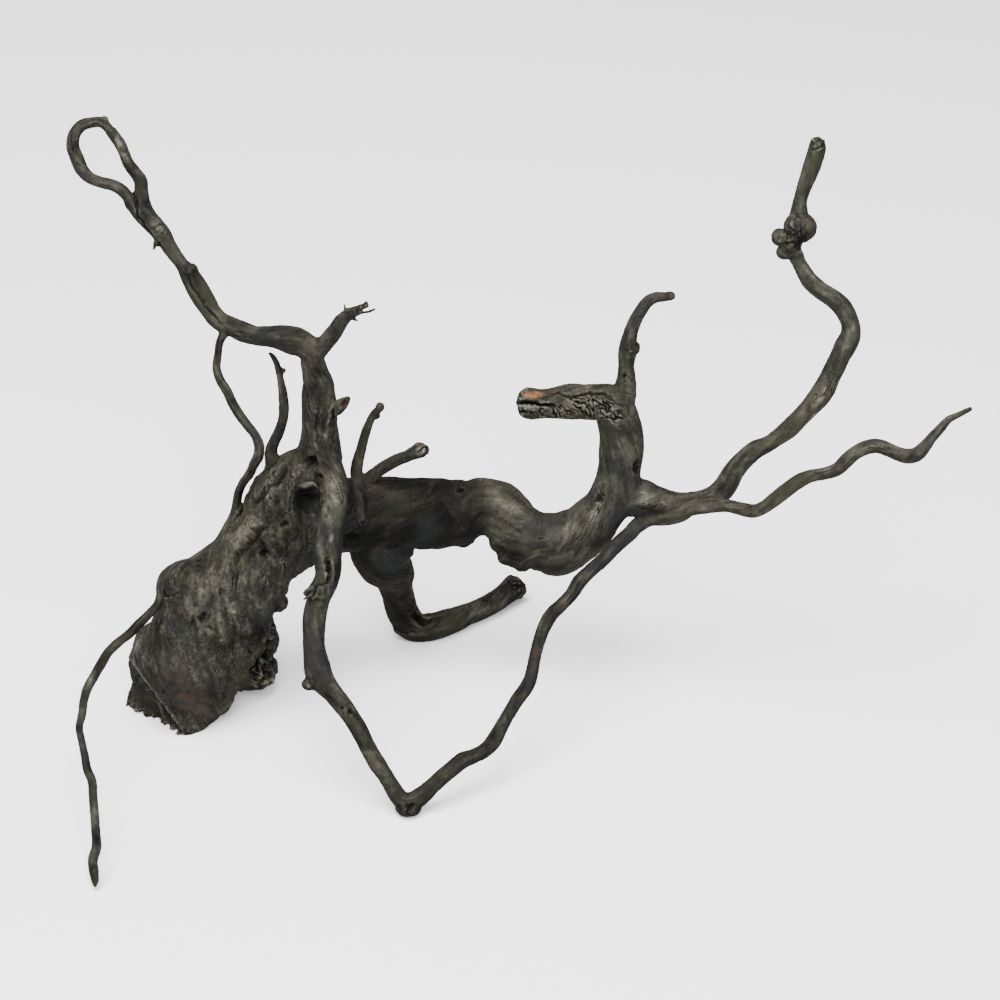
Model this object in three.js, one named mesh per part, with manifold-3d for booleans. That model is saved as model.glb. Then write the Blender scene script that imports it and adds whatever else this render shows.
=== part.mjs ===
// Aquarium root wood: a branching piece of dry root that stands on its stump, a knuckle and a hind leg.
// Units are millimetres, +Z is up and the ground is at z = 0.
import * as THREE from 'three';
import { mergeVertices } from 'three/addons/utils/BufferGeometryUtils.js';
import Module from 'manifold-3d';

// Driving dimensions
const SIGHT_TILT = 30;          // degrees that the sighting line looks down
const SIGHT_DISTANCE = 1600;    // from the eye to the reference point
const REFERENCE_HEIGHT = 100;   // height of the reference point above the ground
const CENTRE_X = 10.6;          // middle of the wood, measured from the reference point
const CENTRE_Y = -59.3;
const KERF = 0.3;               // width of the cut that parts two pieces at a fork
const FLUTE = 0.035;            // how far the sides of a limb wander from round, as a share of its radius
const WORN_SIZE = 0.6;          // radius of a worn end's last ring, as a share of the limb's radius there
const WORN_LENGTH = 0.45;       // how far that ring stands past the route's end, as the same share
const FEWER_RINGS = 0.75;       // rings to a way point where a limb bends gently
const LARGE_BALL = 5;           // a lump or pit of a larger radius than this is made rounder
const GROUND_WIDTH = 900;       // the block that stands for everything below the ground
const GROUND_DEPTH = 100;

// A route is a list of way points [across, up, depth, radius] along a limb. Across and up are seen along
// the sighting line, in the plane through the reference point. Depth is measured away from the eye.
const STUMP = [
  [-91, 16, -10, 15], [-97, 9, -12, 20], [-102, 0, -14, 23], [-106.5, -10.5, -16, 24],
  [-113.5, -20, -18, 22], [-121, -29.5, -22, 20.5], [-128.5, -39, -26, 22.5], [-134.5, -47, -29, 25],
  [-141.5, -59, -33, 28], [-149, -70, -36, 27.75], [-154, -80, -38, 28.25],
  [-158.75, -90, -39, 26], [-162, -99, -39, 22.8], [-166, -107.5, -39, 22.5], [-168.5, -121, -39, 22],
];
const TRUNK = [
  [-94, -3, -8, 21], [-85, -6.5, -6, 20], [-77.5, -8, -5, 19.5], [-70, -7.5, -4, 18],
  [-60, -6.5, -3, 17], [-47.5, -5.75, -2, 17.25], [-35, -7, -1, 17.25], [-23.5, -7, -1, 17.25],
  [-16.5, -6, -2, 17], [-12, -4, -3, 15.25], [-8, -2.5, -4, 13.75], [-3, -3.5, -4.5, 12.5],
];
const BEND = [
  [-14, -3.5, -3, 12.5], [-8, -2.5, -4, 13.5], [-1.5, -4.5, -5, 14], [4.75, -12.75, -7, 15.5],
  [11, -19.5, -9, 15.5], [20, -20.5, -10, 14.3], [28.25, -21.75, -10, 15.2], [37.5, -18, -9, 14.3],
  [45, -12, -8, 13], [52, -4.5, -6, 11.8], [57, 4.5, -3, 11.3], [60, 15, 0, 11], [61, 25, 2, 11.2],
  [60.5, 35, 4, 11], [58.5, 43, 5, 10.3], [56, 48, 5, 9.4],
];
const SNAG = [
  [61, 47, 5, 9.2], [55, 48.5, 4, 9.4], [49, 49, 2, 9.1], [42, 49.25, -2, 9], [35, 49.25, -6, 8.85],
  [27.5, 48.5, -9, 8], [20.5, 48, -12, 7.3], [15.5, 48, -14, 7.9], [12, 48, -15, 7],
];
const SNAG_TWIG = [
  [61, 51, 7, 7], [62.5, 56, 9, 5.5], [63, 61, 10, 4.75], [63, 67, 11, 4.1], [63.5, 72.5, 12, 4.5],
  [64, 77, 13, 4.25], [65, 82.5, 14, 3.7], [67, 88.5, 15, 3.5], [70, 94.25, 16, 3.25],
  [73.5, 99, 17, 3.2], [77.5, 101.25, 18, 2.9], [82, 101.5, 18, 2.5], [85.5, 101.5, 18, 1.9],
];
const RIGHT_LIMB = [
  [59, 3, -2, 10], [65, 2, -2, 10], [71.5, 1.5, -3, 9], [77.5, 0, -4, 7.25], [85, -1, -6, 6],
  [92.5, -1.25, -8, 5.35], [100, -0.5, -9, 5.25], [106, 1.5, -10, 5.5], [111, 5.5, -10, 5.75],
  [115, 11, -11, 5.45], [118.5, 16.5, -12, 5], [123, 21.5, -13, 4.8], [128.5, 25.5, -14, 4.65],
  [134, 28, -15, 4.3], [140, 32, -16, 4.6], [145, 36, -17, 4.9], [150.5, 41.5, -18, 4.9],
  [155, 46.5, -18, 5.1], [159, 51.5, -18, 5.5], [162.5, 56.5, -17, 5.5], [165, 61.5, -16, 5.25],
  [167.5, 66.5, -15, 5.25], [170, 71.5, -13, 5.25], [172.5, 76.5, -11, 5.75], [175, 82, -9, 5.15],
  [175.25, 87, -7, 5], [173.5, 92.5, -6, 4.85], [170.5, 97, -5, 4.75], [166, 101, -4, 4.7],
  [160, 105, -3, 4.5], [155, 109.5, -2, 4.5], [151.5, 115, -1, 4], [148.25, 120.5, 0, 3.65],
];
const KNOTTED_TIP = [
  [150, 117.5, -0.5, 3.7], [147, 124.5, 1, 4.25], [147, 130, 2, 4.5], [148.5, 137, 4, 5],
  [149.5, 143.5, 6, 4.5], [150, 149.5, 8, 3.7], [152, 156, 11, 3.85], [154.5, 162.5, 14, 4.15],
  [156.75, 169.5, 17, 4.45], [158.5, 176, 19, 4.75], [159, 179.5, 20, 4],
];
const LOWER_RIGHT = [
  [72.5, -9.5, -6, 3.75], [78, -9, -7, 3.85], [84, -8.75, -9, 3.85], [90, -7.25, -11.5, 4],
  [95, -4.25, -14, 3.85], [101.5, -3, -16.5, 4], [108.5, -2.75, -18.5, 3.65], [115, -3, -20, 3.25],
  [121, -4.5, -22, 3.35], [127, -5.5, -24, 3.6], [132.5, -3.25, -26, 3.65], [137.5, 0.5, -28, 3.8],
  [143.5, 5, -30, 3.65], [149.5, 9.5, -31, 3.65], [156, 12.25, -32, 3.15], [162.5, 13.5, -32, 3.1],
  [169, 15.75, -32, 3.5], [173, 19.5, -31, 3.75], [177, 23, -30, 3.5], [181.5, 25.5, -29, 3.75],
  [188, 27, -27, 3.75], [193.5, 25.5, -25, 3.75], [198.5, 23.25, -24, 3.6], [204, 22, -23, 3.7],
  [208.5, 23, -22, 3.65], [212, 26.25, -21, 3.3], [216, 31, -19, 2.75], [220.5, 36, -17, 2.4],
  [224, 40, -16, 2], [229, 42.5, -15, 1.7], [233, 44.5, -14, 1.55], [235.5, 46, -14, 1.5],
];
const FRONT_ROOT = [
  [-89, 24, -16, 6.5], [-86.5, 18, -23, 7], [-84, 11, -31, 7], [-83, 4.5, -38, 7], [-83, -2, -44, 6.85],
  [-84, -9.5, -51, 6.25], [-84.75, -17, -57, 6.5], [-85.5, -24.5, -63, 7], [-85.75, -31.5, -68, 6.9],
  [-86.5, -38.5, -73, 6], [-89.5, -46, -78, 6], [-91.5, -53, -82, 6], [-92.75, -61, -87, 5.65],
  [-93, -70, -92, 5.75], [-92.5, -77.5, -96, 6], [-91, -85, -100, 6.75], [-88, -91, -103, 6.25],
  [-83, -97, -106, 5], [-76.5, -105.5, -111, 4.65], [-71.5, -113, -115, 4.5], [-66.5, -123, -119, 4.25],
  [-61.25, -132, -123, 4.25], [-55.5, -141, -126, 4], [-51, -148, -128, 4.25], [-47, -152.5, -129, 4.75],
];
const FRONT_ARM = [
  [-48, -151.5, -128.5, 4.75], [-43.5, -150.5, -128, 4.75], [-39, -147.5, -126, 4.35],
  [-34.5, -143.5, -124, 4], [-29.5, -139, -121, 4], [-24, -134.5, -117, 4.1], [-18.5, -130.25, -113, 4.15],
  [-13.5, -128.25, -110, 3.9], [-8, -125.5, -106, 3.9], [-3.5, -121, -101, 3.9], [0, -115, -96, 3.65],
  [4, -107.5, -90, 3.55], [8.5, -100, -85, 3.55], [13.25, -93.5, -80, 3.55], [15.5, -88, -75, 3.4],
  [17.25, -80, -69, 3.1], [19.5, -71.5, -63, 3.15], [22, -64, -58, 3.4], [25.75, -57.25, -53, 3.35],
  [31, -52, -48, 3.35], [36, -46.5, -43, 3.45], [40, -40.5, -38, 3.9], [45, -35.5, -34, 3.6],
  [51.5, -29.5, -28, 3.65], [58.5, -22.5, -21, 3.7], [64.5, -17, -14, 3.9], [69, -12.5, -9, 3.9],
  [74, -9.5, -6, 3.9],
];
const HIND_LEG = [
  [-58.5, -14, 0, 16.5], [-59.5, -22.5, 2, 17], [-57.5, -29, 5, 14.5], [-54, -35, 10, 11],
  [-52.25, -41, 15, 9], [-50.75, -48.5, 20, 8.15], [-49, -55.5, 25, 8], [-46, -61.5, 28, 7.75],
];
const HIND_FOOT = [
  [-50, -60, 27, 6.5], [-45, -63, 28, 7.25], [-38, -63.75, 29, 7], [-30, -62.25, 32, 6.65],
  [-22.5, -59.75, 37, 6], [-15, -56.75, 43, 5.5], [-7.5, -53.25, 50, 5.25], [-0.5, -49.5, 57, 5.3],
  [4, -46, 63, 5.9], [7.5, -43.25, 68, 6.4],
];
const LEFT_RISER = [
  [-91, 15, -11, 13], [-90.5, 22, -12, 11.8], [-90, 30, -13, 10.25], [-90, 37.5, -14, 9.15],
  [-90, 45, -15, 8.75], [-90.75, 52, -16, 8.5], [-91.5, 58.5, -17, 7.5], [-92.75, 65, -17, 6.15],
  [-93.75, 70.5, -18, 5.9], [-93.5, 76, -18, 6.5], [-92, 78.5, -18, 4.75],
];
const LEFT_BRANCH = [
  [-94, 74, -18, 6], [-97.5, 77, -17, 7], [-102, 79.5, -15, 7.25], [-108, 81, -12, 6.35],
  [-115, 81.75, -8, 5.25], [-122.5, 82.5, -4, 4.9], [-129, 84.5, 0, 5.2], [-135, 87.25, 3, 4.9],
  [-139.5, 90.5, 5, 3.8], [-142.5, 94.5, 7.5, 3.2], [-146, 101, 10.5, 3.1], [-150, 107.5, 14, 3.3],
  [-154, 113.5, 17, 3.5], [-158.5, 118, 20, 3], [-162, 122.5, 21.5, 3.25], [-165, 127, 23, 3.75],
  [-168.25, 133, 25, 4], [-172, 138, 26, 3.75], [-175.75, 143.5, 27.5, 3.5], [-178, 148.5, 28.5, 3.5],
  [-179.5, 154, 29.5, 3.6],
];
const SIDE_STRAND = [
  [-186, 151, 27, 3], [-183.5, 146.5, 26.5, 2.8], [-180, 141.5, 26, 2.6], [-176.25, 137.5, 25, 2.6],
  [-170.5, 131, 23, 2.5], [-165.5, 124, 20.5, 2.5], [-159.5, 117, 17, 2.65], [-156.5, 110.5, 13.5, 2.85],
  [-152.5, 102.5, 10, 3], [-147, 94.5, 6.5, 3.1], [-141.5, 88.5, 3.5, 3.5], [-137, 86, 2, 3.5],
];
const LOOP = [
  [-178.5, 150, 28.5, 3.6], [-179.5, 155.5, 30, 3.6], [-179.75, 159.5, 31, 3.5], [-182.75, 164, 33, 3.15],
  [-186, 168.75, 34, 3], [-188, 173.75, 36, 2.85], [-190, 178, 37, 2.9], [-193.25, 182.5, 39, 2.7],
  [-196.25, 186.5, 40, 2.6], [-199.5, 189, 41, 2.65], [-204.5, 188.75, 42, 2.85], [-209.5, 187, 42, 3.1],
  [-212.75, 182.5, 41, 3.3], [-213.5, 176.5, 40, 3.45], [-211.5, 171, 38, 3.5], [-209.5, 166, 36, 3.5],
  [-206, 161.75, 34, 3.25], [-200, 159, 31, 2.8], [-194, 157.5, 29, 3], [-189.25, 155, 28, 3.2],
  [-185.5, 150.5, 27, 3], [-184.5, 147, 26.75, 2.8],
];
const BROKEN_STUB = [
  [-91, 75, -18, 5], [-87, 79, -18, 4.25], [-83, 84, -20, 4.1], [-79.5, 89, -23, 4],
  [-75.5, 92.75, -26, 3.15], [-71.5, 95, -29, 2.25], [-68, 96.75, -31, 1.6], [-66.25, 97.5, -32, 1.3],
];
const STUB_PRONG = [
  [-74, 92.5, -26, 1.5], [-69.5, 93.75, -28, 1], [-65.5, 94.25, -29, 0.85], [-62.5, 95.5, -30, 0.8],
];
const HANGING_ROOTLET = [
  [-137.5, 87.5, 2, 3], [-138, 83.5, 1, 2.5], [-140, 79, 0, 2.1], [-141, 72.5, -1, 2.1],
  [-141.75, 66, -3, 2.25], [-140, 60, -5, 2.35], [-136.5, 54.5, -7, 2.5], [-133.75, 48.5, -9, 2.5],
  [-130.5, 43, -11, 2.5], [-126.5, 37.5, -13, 2.5], [-122.75, 32.75, -15, 2.5], [-120.5, 27.5, -17, 2.6],
  [-120.75, 22, -18, 2.75], [-123, 18, -18, 2.5], [-125, 13.5, -17, 2.4], [-128.5, 8.5, -15, 2.25],
  [-130.75, 3.5, -13, 2.25], [-131.75, -2, -12, 2.35], [-133, -7, -13, 2.3], [-135.25, -12, -14, 2.5],
  [-137.75, -16.5, -16, 2.5], [-141, -21, -18, 2.3], [-145.5, -24.5, -20, 2.25], [-150, -27.75, -23, 2.15],
  [-154, -30.25, -25, 2.1],
];
const LONG_ROOTLET = [
  [-150, -27.75, -23, 2.15], [-154.5, -30.5, -25.5, 2], [-159.5, -31.75, -28, 1.85],
  [-164.25, -34, -32, 1.95], [-168.25, -37.5, -36, 2.05], [-170, -42.5, -40, 2.1],
  [-170.25, -47.5, -44, 1.9], [-171.5, -52.25, -48, 2.15], [-175.5, -57, -53, 2.3],
  [-180, -61.5, -58, 2.5], [-185.5, -67, -63, 2.5], [-191, -71.5, -69, 2.5], [-196, -76.5, -75, 2.5],
  [-199, -81.5, -82, 2.5], [-202, -86.5, -90, 2.5], [-206, -93.5, -99, 2.5], [-208, -100, -107, 2.15],
  [-209, -107.5, -116, 2.25], [-210.25, -114, -123, 2], [-209, -121, -130, 2], [-207.5, -128.5, -138, 2.25],
  [-206.5, -134.5, -144, 2.25], [-204, -140.5, -150, 2.3], [-203.5, -146.5, -156, 2.3],
  [-203, -153, -162, 2.35], [-202.5, -160, -168, 2.4], [-202, -167.5, -174, 2.5],
  [-201.75, -173.5, -179, 2.6], [-203.5, -180, -183, 2.5], [-203, -186, -186.5, 2.5],
  [-202.5, -190.5, -188.5, 2], [-202.5, -193.5, -190, 0.8],
];
const INNER_TWIG = [
  [-111.5, 12, -14, 4.75], [-113.5, 18.5, -13, 4.35], [-114.5, 24.5, -12, 3.35],
  [-112.75, 29.5, -11.5, 2.9], [-110.25, 34.5, -12, 2.65], [-108.5, 40, -13, 2.6], [-108, 46, -13, 2.5],
  [-108.5, 52.5, -12, 2.3], [-109.5, 59, -10, 2], [-110.75, 65, -8, 1.9], [-112.25, 69.5, -7, 1.65],
  [-114.25, 72.5, -6, 1.3], [-115.5, 73.75, -6, 0.7],
];
const UPRIGHT_TWIG = [
  [-68.5, -10.5, -21, 1.2], [-69.5, -4, -17.5, 2.2], [-70.5, 2.5, -12.5, 3], [-71.25, 8, -7, 3.4],
  [-71.75, 13, -3, 3.2], [-71.25, 18.5, -2, 2.9], [-69.75, 24.5, -2, 2.6], [-68.25, 30, -3, 2.5],
  [-66.75, 35, -4, 2.4], [-65, 39.5, -5, 2.2], [-63, 43.25, -6, 2], [-60.5, 45.5, -7, 2.15],
  [-59, 47.25, -7, 1.5],
];
const SHORT_STUB = [
  [-68, 6, -4, 3.75], [-65.5, 10.75, -3, 3.4], [-61, 14.5, -4, 3.3], [-56, 17.75, -6, 3.3],
  [-51, 20.25, -8, 3.1], [-46.5, 22, -9, 3], [-42.5, 24, -10, 3.6], [-39, 24.75, -11, 3.6],
  [-36.5, 25, -11, 2.5],
];
const EAR = [
  [-86, 43, -19, 3.5], [-81.5, 46, -20, 3.75], [-78.5, 48.5, -21, 3], [-75.5, 51, -22, 1.25],
];
const FRAYED_SPUR = [
  [-86, -36, -75, 3], [-90.5, -41.5, -79, 3.6], [-94, -45, -82, 2.6], [-97.5, -47.5, -84, 1.2],
];

// A lump is [across, up, depth, radius] with how far it is stretched across, in depth and in height.
const LUMPS = [
  [[-156, -42.5, -36, 12], [1, 1, 1.1]],
  [[-150, -56, -42, 15], [0.9, 1, 1.3]],
  [[-132, -55, -38, 16], [1, 1, 1.1]],
  [[-112, -51, -27, 5.4], [1, 1, 1]],
  [[-121, -83, -20, 9], [1.1, 1, 0.75]],
  [[-130, -87.5, -26, 11], [1.1, 1, 0.8]],
  [[-117, -67.5, -14, 8], [0.7, 1, 1.6]],
  [[-21, -19, -6, 5.5], [1.1, 1.3, 1]],
  [[9, -28, -9, 6.6], [1.1, 1.2, 1]],
  [[152, 136, 3, 6.75], [1, 0.9, 1.1]],
  [[140.25, 131.5, 0, 4.6], [1, 1, 1]],
  [[142.5, 124, 0, 4.35], [1.1, 1, 0.95]],
  [[-95.5, -92, -104, 3.6], [1, 1, 0.8]],
  [[-46, -153.5, -129, 5.7], [1.15, 1, 0.85]],
  [[-198, 190.5, 41, 1.7], [1.3, 1, 1]],
  [[-150.75, 117, 16, 3.4], [1, 1, 1.2]],
  [[-172, 127.5, 22, 2], [0.7, 0.8, 1.6]],
];

// A pit is [across, up, depth, radius] in the same way, moved towards the eye by its lift.
const PITS = [
  [[-94.5, 19, -7, 3.4], 17, [1, 1, 0.9]],
  [[-97.5, 0, -14.5, 6.8], 21, [1.15, 1.1, 0.8]],
  [[-85.5, -38.5, -72.5, 2], 5.8, [0.8, 1, 3]],
  [[-75.25, -106, -111, 1.8], 4.6, [1, 1, 1.3]],
  [[-74, -18.5, -9, 3], 16.5, [1.4, 1, 0.7]],
  [[-124, -20, -17.3, 4], 19.5, [1.1, 1, 1.3]],
  [[49.5, 1, -3, 2], 12, [1, 1, 1.3]],
  [[68.5, 16, -1, 2.6], 9.5, [0.9, 1, 1.8]],
  [[-38, -58.5, 30, 3.2], 6, [1.3, 1, 0.9]],
  [[-113.5, -66, -30, 7.5], 15, [0.9, 1, 1.2]],
  [[-78.5, 48.3, -21, 2], 3.4, [1, 1, 1.3]],
  [[50, 48, 2, 2.6], 9.6, [2.4, 1, 0.8]],
  [[35, 46.5, -6, 2.4], 9, [2.6, 1, 0.7]],
];

// A saw cut runs from one point of the stump's side to another, and is sunk into it.
const SAW_CUTS = [
  [[-182, -83.5, -38], [-160, -115, -56], 0.8],
  [[-183.5, -94.5, -39], [-167.5, -112.5, -52], 1.2],
];
const SAW_FACING = new THREE.Vector3(-0.46, -0.87, 0.19);
const SAW_REACH = 30;
const SAW_SHIFT = 0.6;          // how far the block's middle lies along the cut, as a share of its reach

// A limb is its route, how many sides it has, its rings to a way point and whether its end is worn.
const LIMBS = [
  [STUMP, 13, 1, false], [TRUNK, 9, 1, false], [BEND, 10, 1, true], [SNAG, 7, 1, true],
  [SNAG_TWIG, 6, FEWER_RINGS, true], [RIGHT_LIMB, 7, FEWER_RINGS, true], [KNOTTED_TIP, 7, 1, true],
  [LOWER_RIGHT, 6, FEWER_RINGS, true], [FRONT_ROOT, 7, FEWER_RINGS, true],
  [FRONT_ARM, 6, FEWER_RINGS, true], [HIND_LEG, 9, 1, true], [HIND_FOOT, 7, 1, false],
  [LEFT_RISER, 8, 1, true], [LEFT_BRANCH, 7, FEWER_RINGS, true], [SIDE_STRAND, 5, FEWER_RINGS, true],
  [LOOP, 6, FEWER_RINGS, true], [BROKEN_STUB, 6, FEWER_RINGS, true], [STUB_PRONG, 5, 1, true],
  [HANGING_ROOTLET, 5, FEWER_RINGS, true], [LONG_ROOTLET, 6, FEWER_RINGS, true],
  [INNER_TWIG, 6, FEWER_RINGS, true], [UPRIGHT_TWIG, 6, FEWER_RINGS, true],
  [SHORT_STUB, 6, FEWER_RINGS, true], [EAR, 6, 1, true], [FRAYED_SPUR, 6, 1, true],
];

// The sides wander in waves, each with its lobes round the limb and its turn from ring to ring, in radians.
const WAVES = [[3, 0.9], [2, -1.7]];

// The pieces, each with a way point inside it, and its colour, roughness and metalness.
const PIECES = {
  stump: [STUMP, 9, 0x5b564d],
  crown: [STUMP, 3, 0x4f4c46],
  trunk: [TRUNK, 6, 0x484641],
  hind_leg: [HIND_FOOT, 4, 0x4a4843],
  trunk_bend: [BEND, 6, 0x656157],
  broken_snag: [SNAG, 5, 0x6a6356],
  snag_twig: [SNAG_TWIG, 6, 0x6b6a60],
  right_limb: [RIGHT_LIMB, 12, 0x656259],
  knotted_tip: [KNOTTED_TIP, 6, 0x5f5e57],
  lower_right_branch: [LOWER_RIGHT, 12, 0x6a665d],
  front_root: [FRONT_ROOT, 12, 0x6a675e],
  front_root_arm: [FRONT_ARM, 12, 0x5c5b54],
  left_riser: [LEFT_RISER, 4, 0x5b5953],
  left_branch: [LEFT_BRANCH, 5, 0x5d5a54],
  loop_twig: [LOOP, 10, 0x6b695f],
  broken_stub: [BROKEN_STUB, 3, 0x6d685e],
  hanging_rootlet: [HANGING_ROOTLET, 6, 0x676860],
  inner_twig: [INNER_TWIG, 6, 0x62645d],
  upright_twig: [UPRIGHT_TWIG, 7, 0x75756b],
  short_stub: [SHORT_STUB, 4, 0x7a7667],
  long_rootlet: [LONG_ROOTLET, 16, 0x62645c],
};
const WOOD_ROUGHNESS = 0.88;
const WOOD_METALNESS = 0;
const PROBE_RADIUS = 0.2;

// A kerf is a route, the way point where it is sawn and the reach of the cut from there.
const KERFS = [
  [STUMP, 5, 28], [TRUNK, 2, 25], [TRUNK, 10, 24], [HIND_LEG, 3.4, 12.5],
  [SNAG, 2, 11.5], [SNAG_TWIG, 2.2, 6.2], [RIGHT_LIMB, 2.9, 17], [RIGHT_LIMB, 31.7, 5.6],
  [LOWER_RIGHT, 7, 4.6], [FRONT_ROOT, 3.4, 8.6], [FRONT_ARM, 1.7, 6.5], [FRONT_ARM, 25.5, 4.8],
  [LEFT_RISER, 3.2, 12.5], [LEFT_BRANCH, 1.9, 9], [LEFT_BRANCH, 19.8, 4.4], [LOOP, 19.4, 3.9],
  [BROKEN_STUB, 1.5, 6], [HANGING_ROOTLET, 1.6, 3.4], [HANGING_ROOTLET, 15.4, 3.4],
  [LONG_ROOTLET, 8.4, 3.4], [INNER_TWIG, 2, 4.6], [UPRIGHT_TWIG, 4.5, 4.4], [SHORT_STUB, 1.5, 4.6],
];

const wasm = await Module();
wasm.setup();

const tilt = THREE.MathUtils.degToRad(SIGHT_TILT);
const sightLine = new THREE.Vector3(0, Math.cos(tilt), -Math.sin(tilt));
const rise = SIGHT_DISTANCE * Math.sin(tilt);
const reach = SIGHT_DISTANCE * Math.cos(tilt);

// How much a thing at that height in the view and that depth is scaled, because it is nearer or farther.
function nearness(up, depth) {
  return (depth + reach) / (up * Math.sin(tilt) + reach);
}

// The point in the wood's own frame that is seen there, at that depth.
function place([across, up, depth]) {
  const scale = nearness(up, depth);
  const z = REFERENCE_HEIGHT + rise + scale * (up * Math.cos(tilt) - rise);
  return new THREE.Vector3(scale * across - CENTRE_X, depth - CENTRE_Y, z);
}

// A route as a smooth centre line, with the radius anywhere along it.
function centreLine(route) {
  const curve = new THREE.CatmullRomCurve3(route.map(place), false, 'centripetal');
  const last = route.length - 1;
  const radii = route.map(([, up, depth, radius]) => radius * nearness(up, depth));
  const radiusAt = (share) => {
    const before = Math.min(Math.floor(share * last), last - 1);
    return THREE.MathUtils.lerp(radii[before], radii[before + 1], share * last - before);
  };
  return { curve, radiusAt, last };
}

function toSolid(geometry) {
  const bare = geometry.clone();
  bare.deleteAttribute('normal');
  bare.deleteAttribute('uv');
  const merged = mergeVertices(bare.index ? bare : mergeVertices(bare), 1e-4);
  return new wasm.Manifold(new wasm.Mesh({
    numProp: 3,
    vertProperties: new Float32Array(merged.attributes.position.array),
    triVerts: new Uint32Array(merged.index.array),
  }));
}

function toGeometry(solid) {
  const mesh = solid.getMesh();
  const geometry = new THREE.BufferGeometry();
  geometry.setAttribute('position', new THREE.BufferAttribute(mesh.vertProperties, 3));
  geometry.setIndex(new THREE.BufferAttribute(mesh.triVerts, 1));
  geometry.computeVertexNormals();
  return geometry;
}

// A closed cylinder is carried along the centre line. A worn end gets one more, smaller ring.
function limb([route, sides, ringShare, wornEnd]) {
  const { curve, radiusAt, last } = centreLine(route);
  const lastRing = Math.round(ringShare * last);
  const rings = wornEnd ? lastRing + 1 : lastRing;
  const geometry = new THREE.CylinderGeometry(1, 1, 1, sides, rings);
  const position = geometry.attributes.position;
  const fill = 2 / (1 + Math.cos(Math.PI / sides));
  for (let i = 0; i < position.count; i += 1) {
    const ring = Math.round((0.5 - position.getY(i)) * rings);
    const share = Math.min(ring / lastRing, 1);
    const along = curve.getTangent(share);
    const side = new THREE.Vector3().crossVectors(along, sightLine).normalize();
    const front = new THREE.Vector3().crossVectors(along, side);
    const angle = Math.atan2(position.getX(i), position.getZ(i));
    const waves = WAVES.map(([lobes, turn]) => Math.sin(lobes * angle + turn * ring));
    const wander = FLUTE * waves.reduce((sum, wave) => sum + wave, 0);
    const past = ring > lastRing ? 1 : 0;
    const radius = radiusAt(share) * fill * (1 + wander) * (past ? WORN_SIZE : 1);
    const point = curve.getPoint(share).addScaledVector(along, WORN_LENGTH * radiusAt(1) * past);
    point.addScaledVector(side, radius * position.getX(i));
    point.addScaledVector(front, radius * position.getZ(i));
    position.setXYZ(i, point.x, point.y, point.z);
  }
  return toSolid(geometry);
}

// A lump or a pit, at its spot or lifted from there towards the eye.
function ball(spot, stretch, lift = 0) {
  const radius = spot[3] * nearness(spot[1], spot[2]);
  const geometry = new THREE.IcosahedronGeometry(radius, spot[3] > LARGE_BALL ? 1 : 0);
  geometry.scale(...stretch);
  const centre = place(spot).addScaledVector(sightLine, -lift);
  geometry.translate(centre.x, centre.y, centre.z);
  return toSolid(geometry);
}

// A thin slab across the limb there.
function kerf([route, station, cutReach]) {
  const { curve, last } = centreLine(route);
  const geometry = new THREE.BoxGeometry(2 * cutReach, KERF, 2 * cutReach);
  const turn = new THREE.Quaternion().setFromUnitVectors(
    new THREE.Vector3(0, 1, 0), curve.getTangent(station / last));
  const centre = curve.getPoint(station / last);
  geometry.applyQuaternion(turn);
  geometry.translate(centre.x, centre.y, centre.z);
  return toSolid(geometry);
}

// A block with one edge along the saw cut: its inner face is the flat that the saw leaves.
function sawBlock([from, to, sunk]) {
  const start = place(from);
  const along = place(to).sub(start);
  const out = SAW_FACING.clone().addScaledVector(along, -SAW_FACING.dot(along) / along.lengthSq());
  out.normalize();
  along.normalize();
  const up = new THREE.Vector3().crossVectors(out, along);
  const geometry = new THREE.BoxGeometry(2 * SAW_REACH, SAW_REACH, SAW_REACH);
  geometry.translate(SAW_SHIFT * SAW_REACH, -SAW_REACH / 2, SAW_REACH / 2 - sunk);
  geometry.applyMatrix4(new THREE.Matrix4().makeBasis(along, up, out));
  geometry.translate(start.x, start.y, start.z);
  return toSolid(geometry);
}

function belowGround() {
  const geometry = new THREE.BoxGeometry(GROUND_WIDTH, GROUND_WIDTH, GROUND_DEPTH);
  geometry.translate(0, 0, -GROUND_DEPTH / 2);
  return toSolid(geometry);
}

const solids = [...LIMBS.map(limb), ...LUMPS.map(([spot, stretch]) => ball(spot, stretch))];

const whole = wasm.Manifold.union(solids);
const pits = PITS.map(([spot, lift, stretch]) => ball(spot, stretch, lift));
const saws = SAW_CUTS.map(sawBlock);
const cuts = KERFS.map(kerf);
const parted = whole.subtract(wasm.Manifold.union([...pits, ...saws, belowGround(), ...cuts]));
const stretches = parted.decompose();

const wood = new THREE.Group();
for (const [name, [route, inside, colour]] of Object.entries(PIECES)) {
  const [across, up, depth] = route[inside];
  const probe = ball([across, up, depth, PROBE_RADIUS], [1, 1, 1]);
  const stretch = stretches.find((each) => each.intersect(probe).volume() > 0);
  const material = new THREE.MeshStandardMaterial({
    color: colour, roughness: WOOD_ROUGHNESS, metalness: WOOD_METALNESS,
  });
  const mesh = new THREE.Mesh(toGeometry(stretch), material);
  mesh.name = name;
  wood.add(mesh);
}

export default wood;
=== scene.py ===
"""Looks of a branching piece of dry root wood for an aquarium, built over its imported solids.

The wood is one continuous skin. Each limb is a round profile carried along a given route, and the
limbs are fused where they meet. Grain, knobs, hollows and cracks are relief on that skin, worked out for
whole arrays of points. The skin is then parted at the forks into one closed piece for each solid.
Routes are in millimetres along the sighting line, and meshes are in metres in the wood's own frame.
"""

import itertools
import logging
import math
from dataclasses import dataclass, field
from enum import Enum
from typing import Union

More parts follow.
